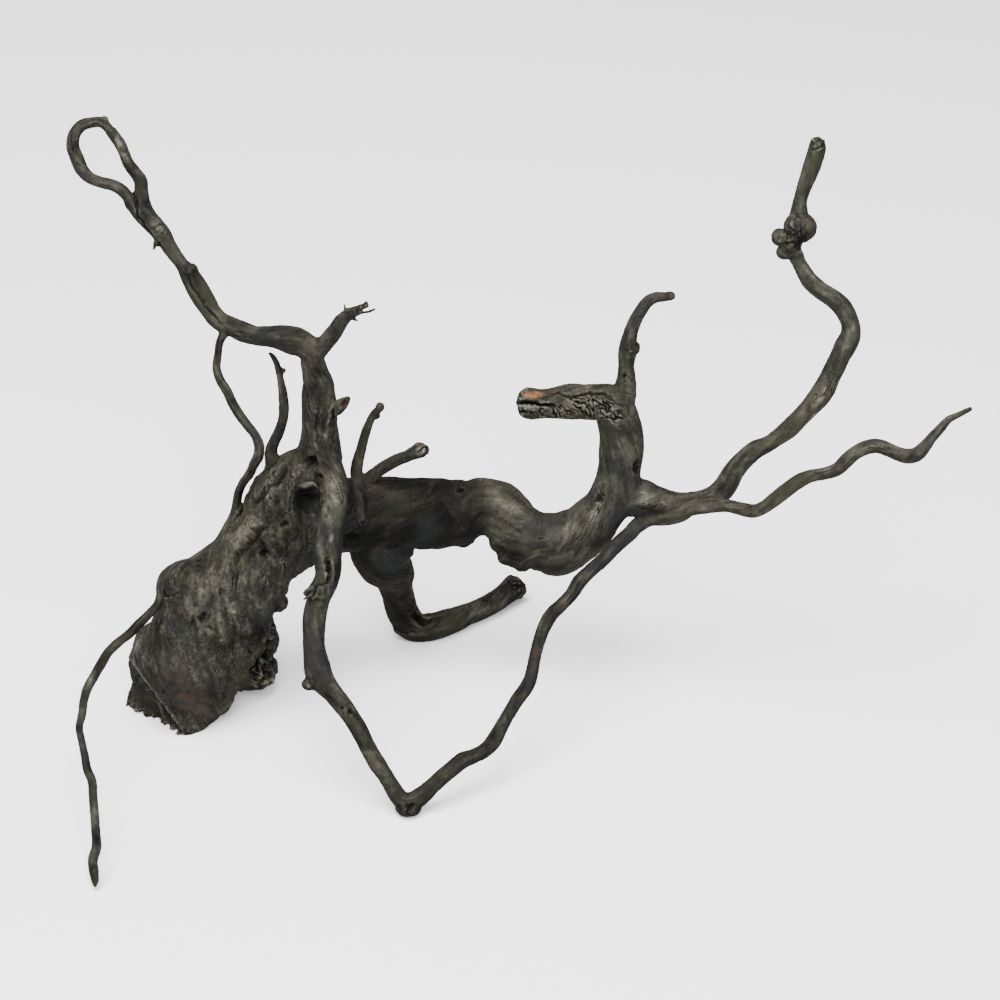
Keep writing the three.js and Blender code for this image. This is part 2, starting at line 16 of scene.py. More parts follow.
import bpy
import numpy as np
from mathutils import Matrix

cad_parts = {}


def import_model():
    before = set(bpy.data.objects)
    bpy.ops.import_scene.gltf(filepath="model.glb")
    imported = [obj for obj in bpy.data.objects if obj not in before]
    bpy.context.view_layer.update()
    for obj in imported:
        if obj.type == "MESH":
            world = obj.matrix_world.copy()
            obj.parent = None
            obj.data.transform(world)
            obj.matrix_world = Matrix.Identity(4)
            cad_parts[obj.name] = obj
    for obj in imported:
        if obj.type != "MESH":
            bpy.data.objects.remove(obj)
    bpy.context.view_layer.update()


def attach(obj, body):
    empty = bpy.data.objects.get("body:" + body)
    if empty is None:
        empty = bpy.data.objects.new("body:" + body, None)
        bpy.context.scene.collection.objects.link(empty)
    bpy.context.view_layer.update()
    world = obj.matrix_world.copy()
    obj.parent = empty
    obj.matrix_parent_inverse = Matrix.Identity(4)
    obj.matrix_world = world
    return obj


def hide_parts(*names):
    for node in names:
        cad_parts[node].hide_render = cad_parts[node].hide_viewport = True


Array = np.ndarray
Colour = tuple[float, float, float]
Marks = list[tuple[float, ...]]

LOG = logging.getLogger("root_wood")
BODY = "root"

# Driving dimensions, in millimetres
METRE = 1000.0
SKIN_STEP = 0.6
SAMPLES_PER_SPAN = 8
PROFILE_SIDES = 28
FORK_SOFTNESS = 1.3

# A route is a list of way points (across, up, depth, radius) along a limb. Across and up are seen along
# the sighting line, in the plane through the reference point. Depth is measured away from the eye.
STUMP = [
    (-91, 16, -10, 15), (-97, 9, -12, 20), (-102, 0, -14, 23), (-106.5, -10.5, -16, 24),
    (-113.5, -20, -18, 22), (-121, -29.5, -22, 20.5), (-128.5, -39, -26, 22.5), (-134.5, -47, -29, 25),
    (-141.5, -59, -33, 28), (-149, -70, -36, 27.75), (-154, -80, -38, 28.25), (-158.75, -90, -39, 26),
    (-162, -99, -39, 22.8), (-166, -107.5, -39, 22.5), (-168.5, -121, -39, 22),
]
TRUNK = [
    (-94, -3, -8, 21), (-85, -6.5, -6, 20), (-77.5, -8, -5, 19.5), (-70, -7.5, -4, 18),
    (-60, -6.5, -3, 17), (-47.5, -5.75, -2, 17.25), (-35, -7, -1, 17.25), (-23.5, -7, -1, 17.25),
    (-16.5, -6, -2, 17), (-12, -4, -3, 15.25), (-8, -2.5, -4, 13.75), (-3, -3.5, -4.5, 12.5),
]
BEND = [
    (-14, -3.5, -3, 12.5), (-8, -2.5, -4, 13.5), (-1.5, -4.5, -5, 14), (4.75, -12.75, -7, 15.5),
    (11, -19.5, -9, 15.5), (20, -20.5, -10, 14.3), (28.25, -21.75, -10, 15.2), (37.5, -18, -9, 14.3),
    (45, -12, -8, 13), (52, -4.5, -6, 11.8), (57, 4.5, -3, 11.3), (60, 15, 0, 11), (61, 25, 2, 11.2),
    (60.5, 35, 4, 11), (58.5, 43, 5, 10.3), (56, 48, 5, 9.4),
]
SNAG = [
    (61, 47, 5, 9.2), (55, 48.5, 4, 9.4), (49, 49, 2, 9.1), (42, 49.25, -2, 9), (35, 49.25, -6, 8.85),
    (27.5, 48.5, -9, 8), (20.5, 48, -12, 7.3), (15.5, 48, -14, 7.9), (12, 48, -15, 7),
]
SNAG_TWIG = [
    (61, 51, 7, 7), (62.5, 56, 9, 5.5), (63, 61, 10, 4.75), (63, 67, 11, 4.1), (63.5, 72.5, 12, 4.5),
    (64, 77, 13, 4.25), (65, 82.5, 14, 3.7), (67, 88.5, 15, 3.5), (70, 94.25, 16, 3.25),
    (73.5, 99, 17, 3.2), (77.5, 101.25, 18, 2.9), (82, 101.5, 18, 2.5), (85.5, 101.5, 18, 1.9),
]
RIGHT_LIMB = [
    (59, 3, -2, 10), (65, 2, -2, 10), (71.5, 1.5, -3, 9), (77.5, 0, -4, 7.25), (85, -1, -6, 6),
    (92.5, -1.25, -8, 5.35), (100, -0.5, -9, 5.25), (106, 1.5, -10, 5.5), (111, 5.5, -10, 5.75),
    (115, 11, -11, 5.45), (118.5, 16.5, -12, 5), (123, 21.5, -13, 4.8), (128.5, 25.5, -14, 4.65),
    (134, 28, -15, 4.3), (140, 32, -16, 4.6), (145, 36, -17, 4.9), (150.5, 41.5, -18, 4.9),
    (155, 46.5, -18, 5.1), (159, 51.5, -18, 5.5), (162.5, 56.5, -17, 5.5), (165, 61.5, -16, 5.25),
    (167.5, 66.5, -15, 5.25), (170, 71.5, -13, 5.25), (172.5, 76.5, -11, 5.75), (175, 82, -9, 5.15),
    (175.25, 87, -7, 5), (173.5, 92.5, -6, 4.85), (170.5, 97, -5, 4.75), (166, 101, -4, 4.7),
    (160, 105, -3, 4.5), (155, 109.5, -2, 4.5), (151.5, 115, -1, 4), (148.25, 120.5, 0, 3.65),
]
KNOTTED_TIP = [
    (150, 117.5, -0.5, 3.7), (147, 124.5, 1, 4.25), (147, 130, 2, 4.5), (148.5, 137, 4, 5),
    (149.5, 143.5, 6, 4.5), (150, 149.5, 8, 3.7), (152, 156, 11, 3.85), (154.5, 162.5, 14, 4.15),
    (156.75, 169.5, 17, 4.45), (158.5, 176, 19, 4.75), (159, 179.5, 20, 4),
]
LOWER_RIGHT = [
    (72.5, -9.5, -6, 3.75), (78, -9, -7, 3.85), (84, -8.75, -9, 3.85), (90, -7.25, -11.5, 4),
    (95, -4.25, -14, 3.85), (101.5, -3, -16.5, 4), (108.5, -2.75, -18.5, 3.65), (115, -3, -20, 3.25),
    (121, -4.5, -22, 3.35), (127, -5.5, -24, 3.6), (132.5, -3.25, -26, 3.65), (137.5, 0.5, -28, 3.8),
    (143.5, 5, -30, 3.65), (149.5, 9.5, -31, 3.65), (156, 12.25, -32, 3.15), (162.5, 13.5, -32, 3.1),
    (169, 15.75, -32, 3.5), (173, 19.5, -31, 3.75), (177, 23, -30, 3.5), (181.5, 25.5, -29, 3.75),
    (188, 27, -27, 3.75), (193.5, 25.5, -25, 3.75), (198.5, 23.25, -24, 3.6), (204, 22, -23, 3.7),
    (208.5, 23, -22, 3.65), (212, 26.25, -21, 3.3), (216, 31, -19, 2.75), (220.5, 36, -17, 2.4),
    (224, 40, -16, 2), (229, 42.5, -15, 1.7), (233, 44.5, -14, 1.55), (235.5, 46, -14, 1.5),
]
FRONT_ROOT = [
    (-89, 24, -16, 6.5), (-86.5, 18, -23, 7), (-84, 11, -31, 7), (-83, 4.5, -38, 7),
    (-83, -2, -44, 6.85), (-84, -9.5, -51, 6.25), (-84.75, -17, -57, 6.5), (-85.5, -24.5, -63, 7),
    (-85.75, -31.5, -68, 6.9), (-86.5, -38.5, -73, 6), (-89.5, -46, -78, 6), (-91.5, -53, -82, 6),
    (-92.75, -61, -87, 5.65), (-93, -70, -92, 5.75), (-92.5, -77.5, -96, 6), (-91, -85, -100, 6.75),
    (-88, -91, -103, 6.25), (-83, -97, -106, 5), (-76.5, -105.5, -111, 4.65), (-71.5, -113, -115, 4.5),
    (-66.5, -123, -119, 4.25), (-61.25, -132, -123, 4.25), (-55.5, -141, -126, 4),
    (-51, -148, -128, 4.25), (-47, -152.5, -129, 4.75),
]
FRONT_ARM = [
    (-48, -151.5, -128.5, 4.75), (-43.5, -150.5, -128, 4.75), (-39, -147.5, -126, 4.35),
    (-34.5, -143.5, -124, 4), (-29.5, -139, -121, 4), (-24, -134.5, -117, 4.1),
    (-18.5, -130.25, -113, 4.15), (-13.5, -128.25, -110, 3.9), (-8, -125.5, -106, 3.9),
    (-3.5, -121, -101, 3.9), (0, -115, -96, 3.65), (4, -107.5, -90, 3.55), (8.5, -100, -85, 3.55),
    (13.25, -93.5, -80, 3.55), (15.5, -88, -75, 3.4), (17.25, -80, -69, 3.1), (19.5, -71.5, -63, 3.15),
    (22, -64, -58, 3.4), (25.75, -57.25, -53, 3.35), (31, -52, -48, 3.35), (36, -46.5, -43, 3.45),
    (40, -40.5, -38, 3.9), (45, -35.5, -34, 3.6), (51.5, -29.5, -28, 3.65), (58.5, -22.5, -21, 3.7),
    (64.5, -17, -14, 3.9), (69, -12.5, -9, 3.9), (74, -9.5, -6, 3.9),
]
HIND_LEG = [
    (-58.5, -14, 0, 16.5), (-59.5, -22.5, 2, 17), (-57.5, -29, 5, 14.5), (-54, -35, 10, 11),
    (-52.25, -41, 15, 9), (-50.75, -48.5, 20, 8.15), (-49, -55.5, 25, 8), (-46, -61.5, 28, 7.75),
]
HIND_FOOT = [
    (-50, -60, 27, 6.5), (-45, -63, 28, 7.25), (-38, -63.75, 29, 7), (-30, -62.25, 32, 6.65),
    (-22.5, -59.75, 37, 6), (-15, -56.75, 43, 5.5), (-7.5, -53.25, 50, 5.25), (-0.5, -49.5, 57, 5.3),
    (4, -46, 63, 5.9), (7.5, -43.25, 68, 6.4),
]
LEFT_RISER = [
    (-91, 15, -11, 13), (-90.5, 22, -12, 11.8), (-90, 30, -13, 10.25), (-90, 37.5, -14, 9.15),
    (-90, 45, -15, 8.75), (-90.75, 52, -16, 8.5), (-91.5, 58.5, -17, 7.5), (-92.75, 65, -17, 6.15),
    (-93.75, 70.5, -18, 5.9), (-93.5, 76, -18, 6.5), (-92, 78.5, -18, 4.75),
]
LEFT_BRANCH = [
    (-94, 74, -18, 6), (-97.5, 77, -17, 7), (-102, 79.5, -15, 7.25), (-108, 81, -12, 6.35),
    (-115, 81.75, -8, 5.25), (-122.5, 82.5, -4, 4.9), (-129, 84.5, 0, 5.2), (-135, 87.25, 3, 4.9),
    (-139.5, 90.5, 5, 3.8), (-142.5, 94.5, 7.5, 3.2), (-146, 101, 10.5, 3.1), (-150, 107.5, 14, 3.3),
    (-154, 113.5, 17, 3.5), (-158.5, 118, 20, 3), (-162, 122.5, 21.5, 3.25), (-165, 127, 23, 3.75),
    (-168.25, 133, 25, 4), (-172, 138, 26, 3.75), (-175.75, 143.5, 27.5, 3.5), (-178, 148.5, 28.5, 3.5),
    (-179.5, 154, 29.5, 3.6),
]
SIDE_STRAND = [
    (-186, 151, 27, 3), (-183.5, 146.5, 26.5, 2.8), (-180, 141.5, 26, 2.6), (-176.25, 137.5, 25, 2.6),
    (-170.5, 131, 23, 2.5), (-165.5, 124, 20.5, 2.5), (-159.5, 117, 17, 2.65),
    (-156.5, 110.5, 13.5, 2.85), (-152.5, 102.5, 10, 3), (-147, 94.5, 6.5, 3.1),
    (-141.5, 88.5, 3.5, 3.5), (-137, 86, 2, 3.5),
]
LOOP = [
    (-178.5, 150, 28.5, 3.6), (-179.5, 155.5, 30, 3.6), (-179.75, 159.5, 31, 3.5),
    (-182.75, 164, 33, 3.15), (-186, 168.75, 34, 3), (-188, 173.75, 36, 2.85), (-190, 178, 37, 2.9),
    (-193.25, 182.5, 39, 2.7), (-196.25, 186.5, 40, 2.6), (-199.5, 189, 41, 2.65),
    (-204.5, 188.75, 42, 2.85), (-209.5, 187, 42, 3.1), (-212.75, 182.5, 41, 3.3),
    (-213.5, 176.5, 40, 3.45), (-211.5, 171, 38, 3.5), (-209.5, 166, 36, 3.5), (-206, 161.75, 34, 3.25),
    (-200, 159, 31, 2.8), (-194, 157.5, 29, 3), (-189.25, 155, 28, 3.2), (-185.5, 150.5, 27, 3),
    (-184.5, 147, 26.75, 2.8),
]
BROKEN_STUB = [
    (-91, 75, -18, 5), (-87, 79, -18, 4.25), (-83, 84, -20, 4.1), (-79.5, 89, -23, 4),
    (-75.5, 92.75, -26, 3.15), (-71.5, 95, -29, 2.25), (-68, 96.75, -31, 1.6), (-66.25, 97.5, -32, 1.3),
]
STUB_PRONG = [
    (-74, 92.5, -26, 1.5), (-69.5, 93.75, -28, 1), (-65.5, 94.25, -29, 0.85), (-62.5, 95.5, -30, 0.8),
]
HANGING_ROOTLET = [
    (-137.5, 87.5, 2, 3), (-138, 83.5, 1, 2.5), (-140, 79, 0, 2.1), (-141, 72.5, -1, 2.1),
    (-141.75, 66, -3, 2.25), (-140, 60, -5, 2.35), (-136.5, 54.5, -7, 2.5), (-133.75, 48.5, -9, 2.5),
    (-130.5, 43, -11, 2.5), (-126.5, 37.5, -13, 2.5), (-122.75, 32.75, -15, 2.5),
    (-120.5, 27.5, -17, 2.6), (-120.75, 22, -18, 2.75), (-123, 18, -18, 2.5), (-125, 13.5, -17, 2.4),
    (-128.5, 8.5, -15, 2.25), (-130.75, 3.5, -13, 2.25), (-131.75, -2, -12, 2.35), (-133, -7, -13, 2.3),
    (-135.25, -12, -14, 2.5), (-137.75, -16.5, -16, 2.5), (-141, -21, -18, 2.3),
    (-145.5, -24.5, -20, 2.25), (-150, -27.75, -23, 2.15), (-154, -30.25, -25, 2.1),
]
LONG_ROOTLET = [
    (-150, -27.75, -23, 2.15), (-154.5, -30.5, -25.5, 2), (-159.5, -31.75, -28, 1.85),
    (-164.25, -34, -32, 1.95), (-168.25, -37.5, -36, 2.05), (-170, -42.5, -40, 2.1),
    (-170.25, -47.5, -44, 1.9), (-171.5, -52.25, -48, 2.15), (-175.5, -57, -53, 2.3),
    (-180, -61.5, -58, 2.5), (-185.5, -67, -63, 2.5), (-191, -71.5, -69, 2.5), (-196, -76.5, -75, 2.5),
    (-199, -81.5, -82, 2.5), (-202, -86.5, -90, 2.5), (-206, -93.5, -99, 2.5), (-208, -100, -107, 2.15),
    (-209, -107.5, -116, 2.25), (-210.25, -114, -123, 2), (-209, -121, -130, 2),
    (-207.5, -128.5, -138, 2.25), (-206.5, -134.5, -144, 2.25), (-204, -140.5, -150, 2.3),
    (-203.5, -146.5, -156, 2.3), (-203, -153, -162, 2.35), (-202.5, -160, -168, 2.4),
    (-202, -167.5, -174, 2.5), (-201.75, -173.5, -179, 2.6), (-203.5, -180, -183, 2.5),
    (-203, -186, -186.5, 2.5), (-202.5, -190.5, -188.5, 2), (-202.5, -193.5, -190, 0.8),
]
INNER_TWIG = [
    (-111.5, 12, -14, 4.75), (-113.5, 18.5, -13, 4.35), (-114.5, 24.5, -12, 3.35),
    (-112.75, 29.5, -11.5, 2.9), (-110.25, 34.5, -12, 2.65), (-108.5, 40, -13, 2.6),
    (-108, 46, -13, 2.5), (-108.5, 52.5, -12, 2.3), (-109.5, 59, -10, 2), (-110.75, 65, -8, 1.9),
    (-112.25, 69.5, -7, 1.65), (-114.25, 72.5, -6, 1.3), (-115.5, 73.75, -6, 0.7),
]
UPRIGHT_TWIG = [
    (-68.5, -10.5, -21, 1.2), (-69.5, -4, -17.5, 2.2), (-70.5, 2.5, -12.5, 3), (-71.25, 8, -7, 3.4),
    (-71.75, 13, -3, 3.2), (-71.25, 18.5, -2, 2.9), (-69.75, 24.5, -2, 2.6), (-68.25, 30, -3, 2.5),
    (-66.75, 35, -4, 2.4), (-65, 39.5, -5, 2.2), (-63, 43.25, -6, 2), (-60.5, 45.5, -7, 2.15),
    (-59, 47.25, -7, 1.5),
]
SHORT_STUB = [
    (-68, 6, -4, 3.75), (-65.5, 10.75, -3, 3.4), (-61, 14.5, -4, 3.3), (-56, 17.75, -6, 3.3),
    (-51, 20.25, -8, 3.1), (-46.5, 22, -9, 3), (-42.5, 24, -10, 3.6), (-39, 24.75, -11, 3.6),
    (-36.5, 25, -11, 2.5),
]
EAR = [
    (-86, 43, -19, 3.5), (-81.5, 46, -20, 3.75), (-78.5, 48.5, -21, 3), (-75.5, 51, -22, 1.25),
]
FRAYED_SPUR = [
    (-86, -36, -75, 3), (-90.5, -41.5, -79, 3.6), (-94, -45, -82, 2.6), (-97.5, -47.5, -84, 1.2),
]

# Loose strands of bark and wood at the broken places
ELBOW_LOOP = [
    (-45, -54, 23, 1.2), (-44.8, -58.5, 20.5, 1), (-42.5, -62, 19.8, 0.95), (-39, -64, 20.5, 0.95),
    (-35, -63, 23.5, 1), (-31.5, -60.5, 27.5, 1.1),
]
ELBOW_STRAND = [
    (-43, -52, 26, 1.2), (-40.5, -56, 22.5, 1), (-37, -59, 22, 0.95), (-33, -58.5, 25.5, 0.9),
    (-27.5, -57.5, 31, 0.9),
]
SPUR_STRANDS = [
    [(-93, -43.5, -84, 1.3), (-96.5, -45, -86, 1), (-98.5, -46.8, -87.5, 0.75)],
    [(-93, -45, -84, 1.2), (-95.5, -48, -86, 0.9), (-98.3, -49.8, -87.5, 0.7)],
    [(-90, -43, -85, 1.2), (-91.5, -47, -86.5, 0.9), (-93.8, -50, -87.5, 0.7)],
    [(-89, -43, -85, 1.3), (-88.5, -47.5, -86.5, 0.95), (-90, -50.3, -87, 0.7)],
    [(-87, -42, -83, 1.2), (-86, -46.5, -85.5, 0.9), (-88, -49, -86.5, 0.75), (-92, -48, -87, 0.7)],
]
BARB = [(-170, 131.5, 22, 2.0), (-172.3, 128, 22, 1.3), (-173.2, 125, 22, 0.6)]
STUB_SPINES = [
    [(-77, 91.5, -25, 1.2), (-77.6, 95, -25, 0.8), (-78, 98.2, -25, 0.6)],
    [(-74.5, 92, -27, 1.1), (-72.5, 90, -28.5, 0.8), (-71, 89.8, -29, 0.6)],
    [(-72, 94, -28.5, 1.2), (-69, 97, -30, 1), (-66.5, 99.3, -31, 0.7)],
]

# A lump is (across, up, depth, radius) with how far it is stretched across, in depth and in height.
LUMPS = [
    (-62.5, 42.5, -5, 2.9, 1, 1, 0.8), (-60, 46.5, -7, 2.5, 1, 1, 1), (-40, 25, -11, 4, 0.9, 1, 1),
    (-108.5, 64.8, -8, 1.6, 1.2, 1, 0.8), (85, 102, 18, 2.8, 1, 1, 0.85), (66, 76, 14, 4.6, 0.9, 1, 0.8),
    (-156, -42.5, -36, 12, 1, 1, 1.1), (-150, -56, -42, 15, 0.9, 1, 1.3), (-132, -55, -38, 16, 1, 1, 1.1),
    (-112, -51, -27, 5.4, 1, 1, 1), (-121, -83, -20, 9, 1.1, 1, 0.75), (-130, -87.5, -26, 11, 1.1, 1, 0.8),
    (-117, -67.5, -14, 8, 0.7, 1, 1.6), (-18, -19, -6, 5.5, 1.1, 1.3, 1), (9, -28, -9, 6.6, 1.1, 1.2, 1),
    (152, 136, 3, 6.75, 1, 0.9, 1.1), (140.25, 131.5, 0, 4.6, 1, 1, 1), (142.5, 124, 0, 4.35, 1.1, 1, 0.95),
    (-95.5, -92, -104, 3.6, 1, 1, 0.8), (-46, -153.5, -129, 5.7, 1.15, 1, 0.85),
    (-198, 190.5, 41, 1.7, 1.3, 1, 1), (-154, 114.5, 16, 3.6, 1, 1, 1.2),
    (9.8, -47, 68, 2.4, 1, 1, 1), (53, 39.4, 3, 3.6, 1, 1, 1), (144, 128.5, 1, 5.2, 1, 1, 1.2),
    (146.5, 138, -1, 4.6, 1, 1, 1.1),
]

# The saw went down the stump's lower left side from its top to the ground between its foot and its heel.
SAW_TOP = (-182, -84.5, -38)
SAW_FOOT = (-159.5, -115.5, -57.5)
SAW_HEEL = (-186.5, -102.5, -34.4)

# A saw line runs from one spot to another across the view, with how deep the wood beyond it is sunk.
SAW_LINES = [
    ((-182, -84.5), (-159.5, -115.5), 0.0),
    ((-183, -94), (-169, -112.5), 0.7),
    ((-184, -99), (-179, -104.5), 1.2),
]
SAW_EDGE = 0.65
SAW_LIP = 4.5
SAW_LIP_HEIGHT = 7.0
SAW_TUCK = 1.5
SAW_TUCK_HEIGHT = 0.3

# Notches that stay sharp, as (across, up, reach)
SHARP_NOTCHES = [(-8.3, -20, 10), (-166.5, -41, 7)]

GRAIN_TWIST = 0.035
FOLD_JUMP = 3.3
FOLD_ROUNDS = 56
FORK_ROUNDS = 25
SHADE_ROUNDS = 28
# Painted shade: how much the tone is darkened on faces that turn down
UNDERSIDE_PAINTED_SHADE = 0.7
MARK_WANDER = 0.9
CAP_DEPTH = 0.6


class Stain(Enum):
    """The colours that lie on the wood in patches, each kept as an attribute of that name."""

    RUST = "rust"
    WORN = "worn"
    FRESH = "fresh"
    OLIVE = "olive"
    SLATE = "slate"
    SAWN = "sawn"


@dataclass(frozen=True)
class Sight:
    """The sighting line that the routes are measured along, and the wood's frame."""

    tilt: float = math.radians(30.0)
    distance: float = 1600.0
    reference_height: float = 100.0
    centre_x: float = 10.6
    centre_y: float = -59.3

    def line(self) -> Array:
        """The direction away from the eye."""
        return np.array([0.0, math.cos(self.tilt), -math.sin(self.tilt)])

    def overhead(self) -> Array:
        """The direction that is up in the view."""
        return np.array([0.0, math.sin(self.tilt), math.cos(self.tilt)])

    def rise(self) -> float:
        """Height of the eye above the reference point."""
        return self.distance * math.sin(self.tilt)

    def reach(self) -> float:
        """Level distance from the eye to the reference point."""
        return self.distance * math.cos(self.tilt)

    def nearness(self, up: Array, depth: Array) -> Array:
        """Scale of a thing there: (depth + reach) / (up * sin(tilt) + reach)."""
        return (depth + self.reach()) / (up * math.sin(self.tilt) + self.reach())

    def place(self, seen: Array) -> Array:
        """Turns (across, up, depth) rows into points of the wood's frame.

        Args:
            seen: rows of across, up and depth in millimetres.

        Returns:
            Rows of x, y and z: x and the height are scaled by nearness, y is the depth.
        """
        across, up, depth = seen[:, 0], seen[:, 1], seen[:, 2]
        near = self.nearness(up, depth)
        height = self.reference_height + self.rise() + near * (up * math.cos(self.tilt) - self.rise())
        return np.stack([near * across - self.centre_x, depth - self.centre_y, height], axis=1)

    def seen(self, points: Array) -> Array:
        """Turns points of the wood's frame back into (across, up) rows.

        Args:
            points: rows of x, y and z in millimetres.

        Returns:
            Rows of across and up, the inverse of place.
        """
        level = points[:, 1] + self.centre_y + self.reach()
        drop = points[:, 2] - self.reference_height - self.rise()
        up = level * self.rise() + drop * self.reach()
        up = up / (level * math.cos(self.tilt) - drop * math.sin(self.tilt))
        near = level / (up * math.sin(self.tilt) + self.reach())
        return np.stack([(points[:, 0] + self.centre_x) / near, up], axis=1)


SIGHT = Sight()


def unit(rows: Array) -> Array:
    """Each row divided by its length."""
    return rows / np.maximum(np.linalg.norm(rows, axis=1, keepdims=True), 1e-9)


def ease(share: Array) -> Array:
    """The smooth step 3 t^2 - 2 t^3, with t held between 0 and 1."""
    held = np.clip(share, 0.0, 1.0)
    return held * held * (3.0 - 2.0 * held)


class Noise:
    """Smooth noise on a repeating lattice of random directions."""

    LATTICE = 32

    def __init__(self, seed: int) -> None:
        """Draws the lattice's directions.

        Args:
            seed: the number that fixes them.
        """
        draws = np.random.default_rng(seed).normal(size=(self.LATTICE,) * 3 + (3,))
        self.directions = draws / np.linalg.norm(draws, axis=-1, keepdims=True)

    def at(self, points: Array) -> Array:
        """Noise of about -1 to 1.

        Each lattice corner gives the dot product of its direction with the offset from it, and the eight
        are blended by 6 t^5 - 15 t^4 + 10 t^3 along each axis.

        Args:
            points: rows of three, one lattice cell a unit.

        Returns:
            One value a row.
        """
        cell = np.floor(points).astype(np.int64)
        offset = points - cell
        blend = offset ** 3 * (offset * (offset * 6.0 - 15.0) + 10.0)
        total = np.zeros(len(points))
        for corner in itertools.product((0, 1), repeat=3):
            spot = (cell + corner) % self.LATTICE
            direction = self.directions[spot[:, 0], spot[:, 1], spot[:, 2]]
            shares = np.where(np.array(corner) == 1, blend, 1.0 - blend)
            total += shares.prod(axis=1) * (direction * (offset - corner)).sum(axis=1)
        return 1.6 * total

    def layered(self, points: Array, layers: int) -> Array:
        """Sum of layers of noise, each at twice the pitch and half the height of the one before."""
        return sum(self.at(points * 2.0 ** layer + 7.3 * layer) / 2.0 ** layer for layer in range(layers))

    def ridged(self, points: Array) -> Array:
        """The ridge 1 - 2 |noise|, sharp along its crests."""
        return 1.0 - 2.0 * np.abs(self.at(points))


class Cells:
    """Distances to scattered seeds, one in each cell of a repeating lattice."""

    LATTICE = 24

    def __init__(self, seed: int) -> None:
        """Draws the seeds' places and sizes.

        Args:
            seed: the number that fixes them.
        """
        draws = np.random.default_rng(seed)
        self.places = draws.random((self.LATTICE,) * 3 + (3,))
        self.sizes = draws.random((self.LATTICE,) * 3)

    def knobs(self, points: Array, reach: float) -> Array:
        """Rounded knobs: the highest of size * (1 - (distance / reach)^2) over the cells around.

        Args:
            points: rows of three, one lattice cell a unit.
            reach: how far a knob spreads, in cells.

        Returns:
            Heights from 0 to 1.
        """
        cell = np.floor(points).astype(np.int64)
        best = np.zeros(len(points))
        for step in itertools.product((-1, 0, 1), repeat=3):
            spot = (cell + step) % self.LATTICE
            index = (spot[:, 0], spot[:, 1], spot[:, 2])
            gap = ((cell + step + self.places[index] - points) ** 2).sum(axis=1)
            best = np.maximum(best, self.sizes[index] * (1.0 - gap / reach ** 2))
        return best


@dataclass
class CentreLine:
    """A limb's centre line, sampled: where it is, which way it runs, and how thick the limb is there."""

    points: Array
    tangents: Array
    sides: Array
    fronts: Array
    radii: Array
    stations: Array
    lengths: Array


